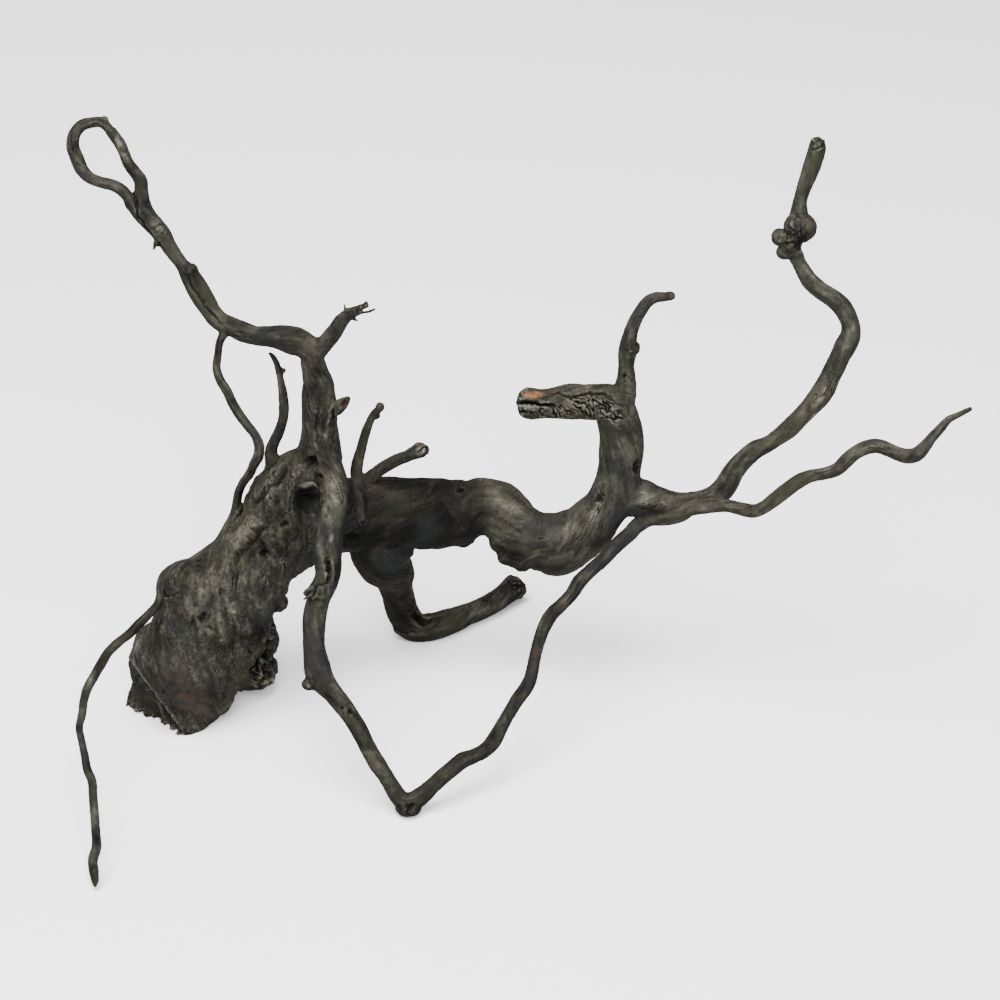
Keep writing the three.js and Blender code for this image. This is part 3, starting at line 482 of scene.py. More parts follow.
@dataclass
class Limb:
    """One limb: its route and the pieces that it belongs to.

    Attributes:
        route: its way points.
        parts: pairs of the way point up to which a stretch runs and the piece that the stretch is in.
        shade: how much paler than the rest it is, or darker where it is below nought.
        comb: how strongly its grain stands out.
    """

    route: Marks
    parts: list[tuple[float, str]]
    shade: float = 0.0
    comb: float = 0.6

    def centre_line(self) -> CentreLine:
        """Works out the smooth line through the way points.

        Between two way points a and b with neighbours z and c it is the cubic that starts and ends there
        with slopes taken from all four, each gap weighed by the square root of its length.

        Returns:
            The sampled line.
        """
        seen = np.array(self.route, dtype=float)
        knots = SIGHT.place(seen)
        radii = seen[:, 3] * SIGHT.nearness(seen[:, 1], seen[:, 2])
        last = len(knots) - 1
        stations = np.linspace(0.0, last, last * SAMPLES_PER_SPAN + 1)
        before = np.minimum(stations.astype(int), last - 1)
        share = (stations - before)[:, None]
        padded = np.vstack([2 * knots[:1] - knots[1:2], knots, 2 * knots[-1:] - knots[-2:-1]])
        z, a, b, c = (padded[before + k] for k in range(4))
        gap0, gap1, gap2 = (np.sqrt(np.linalg.norm(q - p, axis=1))[:, None] for p, q in ((z, a), (a, b), (b, c)))
        slope_a = ((a - z) / gap0 - (b - z) / (gap0 + gap1) + (b - a) / gap1) * gap1
        slope_b = ((b - a) / gap1 - (c - a) / (gap1 + gap2) + (c - b) / gap2) * gap1
        points = a + slope_a * share + (3 * (b - a) - 2 * slope_a - slope_b) * share ** 2
        points = points + (2 * (a - b) + slope_a + slope_b) * share ** 3
        tangents = unit(np.gradient(points, axis=0))
        sides = unit(np.cross(tangents, SIGHT.line()))
        steps = np.linalg.norm(np.diff(points, axis=0), axis=1)
        return CentreLine(
            points=points,
            tangents=tangents,
            sides=sides,
            fronts=np.cross(tangents, sides),
            radii=radii[before] + (radii[before + 1] - radii[before]) * share[:, 0],
            stations=stations,
            lengths=np.concatenate([[0.0], np.cumsum(steps)]),
        )

    def sweep(self) -> tuple[Array, Array]:
        """Carries a circle along the centre line, and rounds off its far end.

        A point is centre + radius * (cos(angle) * front + sin(angle) * side). The far end gets rings that
        close in as a shallow dome. Both ends are closed by rings drawn to a point.

        Returns:
            The points, and the quads as rows of four point numbers.
        """
        line = self.centre_line()
        dome_out = np.array([0.0, 0.25, 0.42, 0.5, 0.5]) * line.radii[-1]
        dome_size = np.array([1.0, 0.9, 0.66, 0.3, 0.01])
        repeat = np.concatenate([[0], np.arange(len(line.radii)), np.full(len(dome_out) - 1, -1)])
        size = np.concatenate([[0.01], np.ones(len(line.radii) - 1), dome_size])
        out = np.concatenate([np.zeros(len(line.radii)), dome_out])
        angle = np.linspace(0.0, 2.0 * math.pi, PROFILE_SIDES, endpoint=False)
        centres = line.points[repeat] + out[:, None] * line.tangents[repeat]
        radii = (line.radii[repeat] * size)[:, None, None]
        circle = np.cos(angle)[None, :, None] * line.fronts[repeat][:, None, :]
        circle = circle + np.sin(angle)[None, :, None] * line.sides[repeat][:, None, :]
        points = (centres[:, None, :] + radii * circle).reshape(-1, 3)
        ring = np.arange(len(repeat) - 1)[:, None] * PROFILE_SIDES
        here = np.arange(PROFILE_SIDES)[None, :]
        after = (here + 1) % PROFILE_SIDES
        quads = np.stack([ring + here, ring + after, ring + PROFILE_SIDES + after, ring + PROFILE_SIDES + here], -1)
        return points, quads.reshape(-1, 4)


def make_mesh(name: str, points: Array, corners: Array, counts: Array) -> bpy.types.Mesh:
    """Puts arrays into a new mesh.

    Args:
        name: the mesh's name.
        points: rows of x, y and z in millimetres.
        corners: the faces' point numbers, one face after another.
        counts: how many corners each face has.

    Returns:
        The mesh, in metres.
    """
    mesh = bpy.data.meshes.new(name)
    mesh.vertices.add(len(points))
    mesh.vertices.foreach_set("co", (points / METRE).ravel())
    mesh.loops.add(len(corners))
    mesh.loops.foreach_set("vertex_index", corners.astype(np.int32))
    mesh.polygons.add(len(counts))
    mesh.polygons.foreach_set("loop_start", (np.cumsum(counts) - counts).astype(np.int32))
    mesh.polygons.foreach_set("use_smooth", np.ones(len(counts), dtype=bool))
    mesh.update(calc_edges=True)
    return mesh


def show(mesh: bpy.types.Mesh) -> bpy.types.Object:
    """Links a mesh into the scene as an object at the origin."""
    shown = bpy.data.objects.new(mesh.name, mesh)
    bpy.context.scene.collection.objects.link(shown)
    return shown


def ball(lump: tuple[float, ...]) -> tuple[Array, Array]:
    """Makes a lump as a stretched ball.

    A point is centre + radius * (sin(a) cos(b), sin(a) sin(b), cos(a)) * stretch.

    Args:
        lump: across, up, depth, radius, and the stretch across, in depth and in height.

    Returns:
        The points, and the quads as rows of four point numbers.
    """
    around, down = 24, 13
    polar = np.linspace(0.01, math.pi - 0.01, down)[:, None]
    turn = np.linspace(0.0, 2.0 * math.pi, around, endpoint=False)[None, :]
    ones = np.ones_like(turn)
    grid = np.stack([np.sin(polar) * np.cos(turn), np.sin(polar) * np.sin(turn), np.cos(polar) * ones], -1)
    seen = np.array([lump[:3]])
    radius = lump[3] * SIGHT.nearness(seen[0, 1], seen[0, 2])
    points = SIGHT.place(seen) + radius * grid.reshape(-1, 3) * np.array(lump[4:])
    ring = np.arange(down - 1)[:, None] * around
    here = np.arange(around)[None, :]
    after = (here + 1) % around
    quads = np.stack([ring + here, ring + around + here, ring + around + after, ring + after], -1)
    return points, quads.reshape(-1, 4)


def main_island(count: int, edges: Array) -> Array:
    """Finds the points that hang together with the largest number of others.

    Each point takes the least number among its neighbours, and then that point's own number, until no
    number changes.

    Args:
        count: how many points there are.
        edges: the edges between them.

    Returns:
        One true or false a point.
    """
    label = np.arange(count)
    while True:
        least = np.minimum(label[edges[:, 0]], label[edges[:, 1]])
        spread = label.copy()
        np.minimum.at(spread, edges.ravel(), np.repeat(least, 2))
        spread = spread[spread]
        if np.array_equal(spread, label):
            return label == np.bincount(label).argmax()
        label = spread


def fused(shapes: list[tuple[Array, Array]], step: float) -> tuple[Array, Array, Array]:
    """Fuses closed shapes that run into one another into one even skin of quads.

    Args:
        shapes: points and quads of each.
        step: the width of a quad of the skin, in millimetres.

    Returns:
        The skin's points in millimetres, its quads and its edges.
    """
    offsets = np.cumsum([0] + [len(points) for points, _ in shapes[:-1]])
    points = np.vstack([points for points, _ in shapes])
    quads = np.vstack([faces + offset for (_, faces), offset in zip(shapes, offsets)])
    rough = show(make_mesh("rough_skin", points, quads.ravel(), np.full(len(quads), 4)))
    remesh = rough.modifiers.new("even", "REMESH")
    remesh.mode = "VOXEL"
    remesh.voxel_size = step / METRE
    even = rough.evaluated_get(bpy.context.evaluated_depsgraph_get()).to_mesh()
    skin_points = np.empty(len(even.vertices) * 3)
    even.vertices.foreach_get("co", skin_points)
    corners = np.empty(len(even.loops), dtype=np.int32)
    even.loops.foreach_get("vertex_index", corners)
    edges = np.empty(len(even.edges) * 2, dtype=np.int32)
    even.edges.foreach_get("vertices", edges)
    bpy.data.objects.remove(rough)
    skin_quads, edges = corners.reshape(-1, 4), edges.reshape(-1, 2)
    kept = main_island(len(skin_points) // 3, edges)
    number = np.cumsum(kept) - 1
    skin_quads = number[skin_quads[kept[skin_quads[:, 0]]]]
    return skin_points.reshape(-1, 3)[kept] * METRE, skin_quads, number[edges[kept[edges[:, 0]]]]


@dataclass
class Claim:
    """What one limb knows of the skin's points near it.

    Attributes:
        index: the points' numbers.
        gap: how far each stands off the limb's round surface.
        station: the way point that it is beside, with the share of the way to the next.
        radius: the limb's radius there.
        grain: length along the limb, and the offsets to its side and its front.
        axis: the direction of the limb there.
        weight: the limb's share in that point.
    """

    index: Array
    gap: Array
    station: Array
    radius: Array
    grain: Array
    axis: Array
    weight: Array = field(default_factory=lambda: np.zeros(0))


class Skin:
    """The whole wood's surface, with what each point belongs to and how its relief is built up."""

    def __init__(self, limbs: dict[str, Limb], lumps: Marks, step: float) -> None:
        """Fuses the limbs and the lumps, and finds each point's limb.

        Args:
            limbs: the limbs by name.
            lumps: stretched balls that belong to the limb that they sit on.
            step: the width of a quad, in millimetres.
        """
        shapes = [limb.sweep() for limb in limbs.values()] + [ball(lump) for lump in lumps]
        self.points, self.quads, self.edges = fused(shapes, step)
        self.step = step
        self.names = list(limbs)
        count = len(self.points)
        self.degree = np.bincount(self.edges.ravel(), minlength=count).astype(float)
        self.claims = [self.claim(limb.centre_line()) for limb in limbs.values()]
        self.owner, self.station, self.radius = self.settle()
        self.shade = self.blended([limb.shade for limb in limbs.values()])
        self.comb = self.blended([limb.comb for limb in limbs.values()])
        for _ in range(SHADE_ROUNDS):
            self.shade = self.averaged(self.shade)
        self.fold = self.folds()
        self.normals = self.face_normals()
        self.soften_forks()
        self.smooth(2)
        self.normals = self.face_normals()
        self.seen = SIGHT.seen(self.points)
        for axis, seed in enumerate((8, 9)):
            self.seen[:, axis] += MARK_WANDER * Noise(seed).layered(self.points / 4.0, 2)
        self.facing = -self.normals @ SIGHT.line()
        self.colour_marks = {stain: np.zeros(count) for stain in Stain}
        self.tone = np.zeros(count)

    def claim(self, line: CentreLine) -> Claim:
        """Finds the points near a limb and where they lie along it.

        Each point takes the closest sample of the centre line, and then the closest spot on the tangent
        there, no farther off than half a step.

        Args:
            line: the limb's centre line.

        Returns:
            The claim, not yet weighed against the others.
        """
        reach = 1.6 * line.radii.max() + 6.0
        low, high = line.points.min(axis=0) - reach, line.points.max(axis=0) + reach
        near = np.flatnonzero(((self.points > low) & (self.points < high)).all(axis=1))
        centre = line.points.mean(axis=0)
        targets = (line.points - centre).astype(np.float32)
        closest = np.empty(len(near), dtype=np.int64)
        for chunk in np.array_split(np.arange(len(near)), len(near) // 20000 + 1):
            spots = (self.points[near[chunk]] - centre).astype(np.float32)
            gaps = (targets ** 2).sum(axis=1)[None, :] - 2.0 * spots @ targets.T
            closest[chunk] = gaps.argmin(axis=1)
        offset = self.points[near] - line.points[closest]
        along = (offset * line.tangents[closest]).sum(axis=1)
        half = 0.5 * np.diff(line.lengths).max()
        held = np.clip(along, np.where(closest == 0, 0.0, -half), np.where(closest == len(targets) - 1, 0.0, half))
        offset = offset - held[:, None] * line.tangents[closest]
        gap = np.linalg.norm(offset, axis=1) - line.radii[closest]
        side = (offset * line.sides[closest]).sum(axis=1)
        front = (offset * line.fronts[closest]).sum(axis=1)
        grain = np.stack([line.lengths[closest] + along, side, front], axis=1)
        return Claim(near, gap, line.stations[closest], line.radii[closest], grain, line.tangents[closest])

    def settle(self) -> tuple[Array, Array, Array]:
        """Weighs the claims: a limb's weight falls off as exp(-(its gap - the least gap) / softness).

        Returns:
            For each point the limb with the least gap, its station and its radius.
        """
        count = len(self.points)
        least = np.full(count, np.inf)
        owner, station, radius = np.zeros(count, dtype=int), np.zeros(count), np.ones(count)
        for number, claim in enumerate(self.claims):
            wins = claim.gap < least[claim.index]
            won = claim.index[wins]
            least[won] = claim.gap[wins]
            owner[won] = number
            station[won] = claim.station[wins]
            radius[won] = claim.radius[wins]
        total = np.zeros(count)
        for claim in self.claims:
            claim.weight = np.exp(-(claim.gap - least[claim.index]) / FORK_SOFTNESS)
            keep = claim.weight > 0.03
            for part in ("index", "gap", "station", "radius", "grain", "axis", "weight"):
                setattr(claim, part, getattr(claim, part)[keep])
            total[claim.index] += claim.weight
        for claim in self.claims:
            claim.weight = claim.weight / total[claim.index]
        return owner, station, radius

    def blended(self, values: list[float]) -> Array:
        """One value a limb, blended by the limbs' weights into one a point."""
        total = np.zeros(len(self.points))
        for claim, value in zip(self.claims, values):
            total[claim.index] += claim.weight * value
        return total

    def averaged(self, values: Array) -> Array:
        """The mean of each point's neighbours, for one value or three a point."""
        first, second = self.edges[:, 0], self.edges[:, 1]
        count = len(self.points)
        if values.ndim == 1:
            total = np.bincount(first, values[second], count) + np.bincount(second, values[first], count)
            return total / self.degree
        return np.stack([self.averaged(values[:, axis]) for axis in range(values.shape[1])], axis=1)

    def folds(self) -> Array:
        """Finds the creases inside tight bends.

        There two neighbours lie at far apart lengths of the same limb. A crease is 1, and fades to 0.

        Returns:
            One share a point.
        """
        crease = np.zeros(len(self.points))
        for claim in self.claims:
            length = np.full(len(self.points), np.nan)
            strong = claim.weight > 0.3
            length[claim.index[strong]] = claim.grain[strong, 0]
            jump = np.abs(length[self.edges[:, 0]] - length[self.edges[:, 1]]) > FOLD_JUMP * self.step
            crease[self.edges[jump]] = 1.0
        spread = crease
        for _ in range(FOLD_ROUNDS):
            spread = np.maximum(crease, self.averaged(spread))
        return ease(1.6 * spread)

    def face_normals(self) -> Array:
        """Each point's normal: the sum of its quads' normals, at unit length."""
        corner = self.points[self.quads]
        faces = np.cross(corner[:, 2] - corner[:, 0], corner[:, 3] - corner[:, 1])
        total = np.stack(
            [np.bincount(self.quads.ravel(), np.repeat(faces[:, axis], 4), len(self.points)) for axis in range(3)],
            axis=1,
        )
        return unit(total)

    def smooth(self, rounds: int) -> None:
        """Moves every point halfway to the mean of its neighbours, that many times."""
        for _ in range(rounds):
            self.points = 0.5 * (self.points + self.averaged(self.points))

    def soften_forks(self) -> None:
        """Fills the creases where limbs meet: a point moves out to its neighbours' mean, never in.

        It does so less on thin limbs, which keep the grooves between them.
        """
        share = 0.12 + 0.58 * ease((self.radius - 3.0) / 9.0)
        seen = SIGHT.seen(self.points)
        for across, up, reach in SHARP_NOTCHES:
            gap = np.linalg.norm(seen - np.array([across, up]), axis=1)
            share = share * ease(2.0 * gap / reach - 1.0)
        for _ in range(round(FORK_ROUNDS * (SKIN_STEP / self.step) ** 2)):
            pull = self.averaged(self.points) - self.points
            outward = np.maximum((pull * self.normals).sum(axis=1), 0.0)
            self.points = self.points + (share * outward)[:, None] * self.normals
            self.points = self.points + (0.7 * self.fold)[:, None] * pull
        self.smooth(1)

    def lift(self, heights: Array) -> None:
        """Moves each point out along its normal by its height."""
        self.points = self.points + heights[:, None] * self.normals

    def on(self, names: tuple[str, ...]) -> Array:
        """Which points belong to the named limbs."""
        return np.isin(self.owner, [self.names.index(name) for name in names])

    def grain(self, noise: Noise, along: float, across: float, relative: bool = False, ridged: bool = False) -> Array:
        """Noise drawn out along the limbs, blended where they meet.

        Args:
            noise: the noise to draw out.
            along: the pitch along the limb, in millimetres.
            across: the pitch across it, in millimetres or as a share of the limb's radius.
            relative: whether across is such a share.
            ridged: whether to take the noise's ridges.

        Returns:
            One value a point, evened out at creases.
        """
        total = np.zeros(len(self.points))
        for number, claim in enumerate(self.claims):
            pitch = across * claim.radius if relative else np.full(len(claim.index), across)
            turn = GRAIN_TWIST * claim.grain[:, 0]
            side = np.cos(turn) * claim.grain[:, 1] - np.sin(turn) * claim.grain[:, 2]
            front = np.sin(turn) * claim.grain[:, 1] + np.cos(turn) * claim.grain[:, 2]
            spots = np.stack([claim.grain[:, 0] / along + 5.1 * number, side / pitch, front / pitch], axis=1)
            total[claim.index] += claim.weight * (noise.ridged(spots) if ridged else noise.at(spots))
        return total + self.fold * (total.mean() - total)

    def patch(self, across: float, up: float, radius: float, stretch: float, turn: float,
              around: float = 0.0) -> Array:
        """A soft round or stretched patch on the side that faces the eye: (1 - distance^2)^2.

        Args:
            across: its middle across the view.
            up: its middle up the view.
            radius: its half width.
            stretch: its length over its width.
            turn: how far its length is turned from across, in degrees.
            around: how far it goes on around the wood's edge.

        Returns:
            One share from 0 to 1 a point.
        """
        gap = self.seen - np.array([across, up])
        angle = math.radians(turn)
        length = (gap[:, 0] * math.cos(angle) + gap[:, 1] * math.sin(angle)) / (radius * stretch)
        width = (gap[:, 1] * math.cos(angle) - gap[:, 0] * math.sin(angle)) / radius
        inside = np.clip(1.0 - length ** 2 - width ** 2, 0.0, 1.0)
        return inside ** 2 * ease(self.facing * 3.0 + around)

    def notch(self, across: float, up: float, reach: float) -> Array:
        """A soft round patch on the side that faces down the view: (1 - (distance / reach)^2)^2.

        Args:
            across: its middle across the view.
            up: its middle up the view.
            reach: its half width.

        Returns:
            One share from 0 to 1 a point.
        """
        gap = np.linalg.norm(self.seen - np.array([across, up]), axis=1)
        return np.clip(1.0 - (gap / reach) ** 2, 0.0, 1.0) ** 2 * ease(-2.0 * self.normals @ SIGHT.overhead())

    def stroke(self, path: Marks, width: float) -> Array:
        """A soft stroke along a path across the view: (1 - (distance / width)^2)^2, fainter at its ends.

        Args:
            path: (across, up) points that it passes through.
            width: half its width.

        Returns:
            One share from 0 to 1 a point.
        """
        best = np.full(len(self.points), np.inf)
        run = np.zeros(len(self.points))
        for number, (start, end) in enumerate(zip(path, path[1:])):
            a, b = np.array(start), np.array(end)
            share = np.clip((self.seen - a) @ (b - a) / ((b - a) @ (b - a)), 0.0, 1.0)
            gap = np.linalg.norm(self.seen - a - share[:, None] * (b - a), axis=1)
            run = np.where(gap < best, (number + share) / (len(path) - 1), run)
            best = np.minimum(best, gap)
        fade = 0.25 + 0.75 * ease(4.0 * run) * ease(4.0 * (1.0 - run))
        return fade * np.clip(1.0 - (best / width) ** 2, 0.0, 1.0) ** 2 * ease(self.facing * 3.0)

    def relief(self, rounds: int) -> Array:
        """How far each point stands out of its surroundings, which are the points smoothed so often."""
        level = self.points
        for _ in range(rounds):
            level = 0.5 * (level + self.averaged(level))
        out = ((self.points - level) * self.normals).sum(axis=1)
        around = out
        for _ in range(2 * rounds):
            around = 0.5 * (around + self.averaged(around))
        return out - around

    def stand(self) -> None:
        """Cuts the skin off level at the ground.

        A point of an upright limb slides back along the limb to the ground, by its depth over the axis's
        steepness. A point of a level one goes straight up.
        """
        axis = np.zeros_like(self.points)
        for claim in self.claims:
            axis[claim.index] += claim.weight[:, None] * claim.axis
        steep = (self.points[:, 2] < 0.0) & (np.abs(axis[:, 2]) > 0.6)
        slide = self.points[steep, 2] / axis[steep, 2]
        self.points[steep] -= slide[:, None] * axis[steep]
        self.points[:, 2] = np.maximum(self.points[:, 2], 0.0)

    def finish_relief(self) -> None:
        """Keeps the relief at two sizes as shares of about -1 to 1, less deep where it was sawn, and paints shade on
        undersides by darkening their tone.
        """
        finer = (SKIN_STEP / self.step) ** 2
        fine, broad = self.relief(round(4 * finer)), self.relief(round(38 * finer))
        self.standing = np.clip(fine / 0.12, -1.5, 1.5) * 0.55 + np.clip(broad / 0.9, -1.5, 1.5) * 0.75
        self.standing = np.maximum(self.standing, -1.5 + 1.2 * (self.colour_marks[Stain.SAWN] > 0.0))
        # Painted shade: the tone grows darker the farther a face turns down
        self.tone -= UNDERSIDE_PAINTED_SHADE * ease(0.55 - self.normals[:, 2])


@dataclass
class Weather:
    """Grain and wear that cover the whole wood, as heights in millimetres or shares of a limb's radius."""

    swell: float = 0.045
    flute: float = 0.115
    strand: float = 0.30
    fibre: float = 0.13
    crack: float = 0.55
    grit: float = 0.10
    full_radius: float = 8.0

    def wear(self, skin: Skin) -> None:
        """Lifts the skin by swells, flutes, strands, fibres and cracks, and keeps the wood's tone.

        Swells are layered noise in space. The others are noise drawn out along the limbs, each finer than
        the one before. Cracks are the crests of a ridged noise, sunk. Blotches of tone are soft noise, a
        little drawn out along the limbs.

        Args:
            skin: the whole skin.
        """
        thin = np.minimum(skin.radius / self.full_radius, 1.0)
        swell = Noise(11).layered(skin.points / 15.0, 2)
        flute = skin.grain(Noise(12), 16.0, 0.9, relative=True)
        strand = skin.grain(Noise(13), 12.0, 2.0) * skin.comb
        fibre = skin.grain(Noise(14), 8.0, 1.0, ridged=True) * skin.comb
        crack = ease((skin.grain(Noise(15), 17.0, 2.6, ridged=True) - 0.84) / 0.16)
        crack = crack * ease(skin.grain(Noise(16), 22.0, 7.0) * 2.5 - 0.1)
        grit = Noise(17).layered(skin.points / 2.2, 2)
        height = skin.radius * (self.swell * swell + self.flute * flute)
        height = height + thin * (self.strand * strand + self.fibre * fibre - self.crack * crack)
        skin.lift(height + self.grit * grit)
        blotch = skin.grain(Noise(18), 12.0, 4.2) + 0.8 * skin.grain(Noise(19), 4.5, 2.2)
        skin.tone += 0.30 * strand + 0.22 * fibre - 0.9 * crack + 0.3 * flute + 0.12 * grit
        skin.tone += 0.95 * blotch + skin.shade


@dataclass
class Assembly:
    """A part of the wood with its own pieces and marks.

    Attributes:
        slot: the record's material slot.
        pieces: the pieces' names, which are those of the solids that they replace.
        knobs: (across, up, radius, height, stretch, turn), hollow where the height is below nought.
        strokes: a path, half its width and its height.
        notches: (across, up, reach, depth), drawn in from below.
        breaks: (across, up, radius, height, stretch, turn) of rough, broken wood.
        stains: a stain, then (across, up, radius, strength, stretch, turn).
        tones: (across, up, radius, amount, stretch, turn), paler where the amount is above nought; some are painted
            light and shade.
    """

    slot: str
    pieces: tuple[str, ...]
    limbs: tuple[str, ...]
    knobs: Marks = field(default_factory=list)
    strokes: list[tuple[Marks, float, float]] = field(default_factory=list)
    notches: Marks = field(default_factory=list)
    breaks: Marks = field(default_factory=list)
    stains: list[tuple[Stain, Marks]] = field(default_factory=list)
    tones: Marks = field(default_factory=list)

    def carve(self, skin: Skin) -> None:
        """Raises the knobs and strokes, and sinks those below nought.

        Args:
            skin: the whole skin, of which only this part's limbs change.
        """
        own = skin.on(self.limbs)
        heights = np.zeros(len(skin.points))
        for across, up, radius, height, stretch, turn in self.knobs:
            heights += height * skin.patch(across, up, radius, stretch, turn)
        for path, width, height in self.strokes:
            heights += height * skin.stroke(path, width)
        for across, up, reach, depth in self.notches:
            heights -= depth * skin.notch(across, up, reach)
        skin.lift(heights * own)
        # Painted light and shade: raised knobs and strokes are painted paler, sunk knobs, strokes and notches darker
        skin.tone += np.clip(heights * own * 0.25, -0.8, 0.3)
        self.break_up(skin)

    def break_up(self, skin: Skin) -> None:
        """Roughens the broken wood by layered noise with the crests of a ridged noise sunk in it.

        Args:
            skin: the whole skin, of which only this part's limbs change.
        """
        broken = np.zeros(len(skin.points))
        for across, up, radius, height, stretch, turn in self.breaks:
            broken = np.maximum(broken, height * skin.patch(across, up, radius, stretch, turn, around=1.5))
        broken *= skin.on(self.limbs)
        rough = Noise(42).layered(skin.points / 4.2, 3)
        cleft = ease((Noise(43).ridged(skin.points / 7.5) - 0.6) / 0.35)
        skin.lift(broken * (1.3 * rough - 0.8 * cleft))
        skin.tone += np.minimum(broken, 1.0) * (0.7 * rough - 0.7 * cleft)

    def stain(self, skin: Skin) -> None:
        """Lays the stains and the tones on this part's limbs, of stains the strongest where several meet.
        Some of the tones are painted light and shade.

        Args:
            skin: the whole skin.
        """
        own = skin.on(self.limbs)
        uneven = np.clip(0.8 + 0.8 * Noise(41).layered(skin.points / 3.5, 3), 0.1, 1.3)
        for stain, marks in self.stains:
            laid = skin.colour_marks[stain]
            for across, up, radius, strength, stretch, turn in marks:
                laid = np.maximum(laid, strength * own * uneven * skin.patch(across, up, radius, stretch, turn))
            skin.colour_marks[stain] = laid
        for across, up, radius, amount, stretch, turn in self.tones:
            # Some of these patches are painted light and shade: paler lit tops and edges, darker undersides, pits and
            # clefts
            skin.tone += amount * own * skin.patch(across, up, radius, stretch, turn)


@dataclass
class Burl(Assembly):
    """The lumpy stump and the pitted crown above it."""

    knob_pitch: float = 12.0
    knob_height: float = 2.2
    pore_height: float = 0.32
    swirl_turns: float = 15.0
    swirl_height: float = 0.2

    def carve(self, skin: Skin) -> None:
        """Covers the burl with gnarls, then adds the marks.

        Gnarls are the rounded knobs around scattered seeds, at two pitches, with layered noise.

        Args:
            skin: the whole skin.
        """
        own = skin.on(("stump", "long_rootlet", "hanging_rootlet")) & (skin.station < 15.5) & (skin.radius > 6.0)
        own = own.astype(float)
        low = ease((skin.station - 3.0) / 4.0)
        bent = skin.points / self.knob_pitch + 0.35 * Noise(21).at(skin.points / 9.0)[:, None]
        large = Cells(22).knobs(bent, 1.0)
        small = Cells(23).knobs(skin.points / (0.42 * self.knob_pitch), 0.9)
        rough = Noise(24).layered(skin.points / 4.2, 3)
        smoothness = skin.patch(-148, -96, 22, 1.0, 0)
        shown = own * (1.0 - 0.8 * smoothness)
        swirl = np.sin(self.swirl_turns * (large + 0.9 * Noise(25).at(skin.points / 14.0)))
        gnarl = low * self.knob_height * (large - 0.3) + 0.2 * (small - 0.25) * (0.35 + 0.65 * low)
        skin.lift(shown * (gnarl + self.pore_height * rough + self.swirl_height * swirl * rough))
        # Painted light and shade: the tops of the large knobs are painted paler and the hollows between them darker
        skin.tone += shown * (0.3 * (large - 0.4) + 0.2 * rough + 0.05 * swirl)
        super().carve(skin)

    def saw(self, skin: Skin) -> None:
        """Presses the skin flat where the saw cut the stump's lower left side.

        A point that is seen beyond a saw line, and stands out past the plane through the saw's top, foot
        and heel, moves back onto the plane. Near the ground the plane gives way to a ragged lip, under
        which the lowest points are tucked in. The tone
        is noise drawn out along the line, and the line itself is worn pale.

        Args:
            skin: the whole skin.
        """
        top, foot, heel = SIGHT.place(np.array([SAW_TOP, SAW_FOOT, SAW_HEEL], dtype=float))
        out = unit(np.cross(foot - heel, top - heel)[None])[0]
        own = skin.on(("stump",))
        sight = SIGHT.seen(skin.points)
        ragged = 0.6 + 0.9 * Noise(26).layered(skin.points / 5.0, 3)
        low = skin.points[:, 2] < SAW_TUCK_HEIGHT
        lip = np.where(low, -SAW_TUCK, SAW_LIP * ragged * ease(1.0 - skin.points[:, 2] / SAW_LIP_HEIGHT))
        for start, end, sunk in SAW_LINES:
            along = unit(np.array([end], dtype=float) - np.array(start))[0]
            offset = sight - np.array(start)
            onward = offset @ along
            beyond = offset @ np.array([along[1], -along[0]])
            past = (skin.points - heel) @ out - lip + sunk
            cut = own & (beyond > 0.0) & (past > 0.0)
            skin.points[cut] -= past[cut, None] * out
            streak = Noise(27).at(np.stack([onward / 16.0, beyond / 1.1, beyond * 0.0], axis=1))
            skin.tone[cut] += 0.9 * streak[cut]
            skin.colour_marks[Stain.SAWN][cut] = 0.35
            held = own & (onward > 0.0) & (onward < math.dist(start, end))
            pale = held * np.clip(1.0 - (beyond / SAW_EDGE) ** 2, 0.0, 1.0) * ease(skin.facing * 3.0)
            skin.colour_marks[Stain.WORN] = np.maximum(skin.colour_marks[Stain.WORN], 0.75 * pale)
        skin.points[:, 2] = np.maximum(skin.points[:, 2], 0.0)


@dataclass
class Snags(Assembly):
    """The split snag on the bend and the split stub on the riser."""

    fissure: float = 1.3
    splinter: float = 0.35

    def carve(self, skin: Skin) -> None:
        """Tears the skin where the wood split, and then adds the marks.

        The tears are the crests of a ridged noise, drawn out at a slant across the view and bent by a
        second noise.

        Args:
            skin: the whole skin.
        """
        head = skin.on(("snag", "bend"))
        torn = ease(2.6 * skin.patch(48.5, 45.5, 8.0, 2.1, -20))
        rough = 0.7 * ease(2.2 * skin.patch(26, 44, 5, 3.0, 0))
        own = head * np.maximum(torn, rough)
        own = np.maximum(own, 0.3 * skin.on(("broken_stub", "stub_prong")) * ease(skin.station - 3.0))
        warp = 1.3 * Noise(33).at(skin.points / 7.0)
        onward = skin.seen @ np.array([0.77, -0.64]) + warp
        aside = skin.seen @ np.array([0.64, 0.77]) + 1.5 * warp
        slant = np.stack([onward / 6.5, aside / 2.1, skin.points[:, 1] / 6.0], axis=1)
        cut = ease((Noise(34).ridged(slant) - 0.5) / 0.35)
        fine = Noise(35).layered(skin.points / 1.6, 2)
        thin = np.minimum(skin.radius / 7.0, 1.0)
        skin.lift(own * thin * (self.splinter * fine - self.fissure * cut))
        skin.tone += own * (0.35 * fine - 1.2 * cut)
        super().carve(skin)


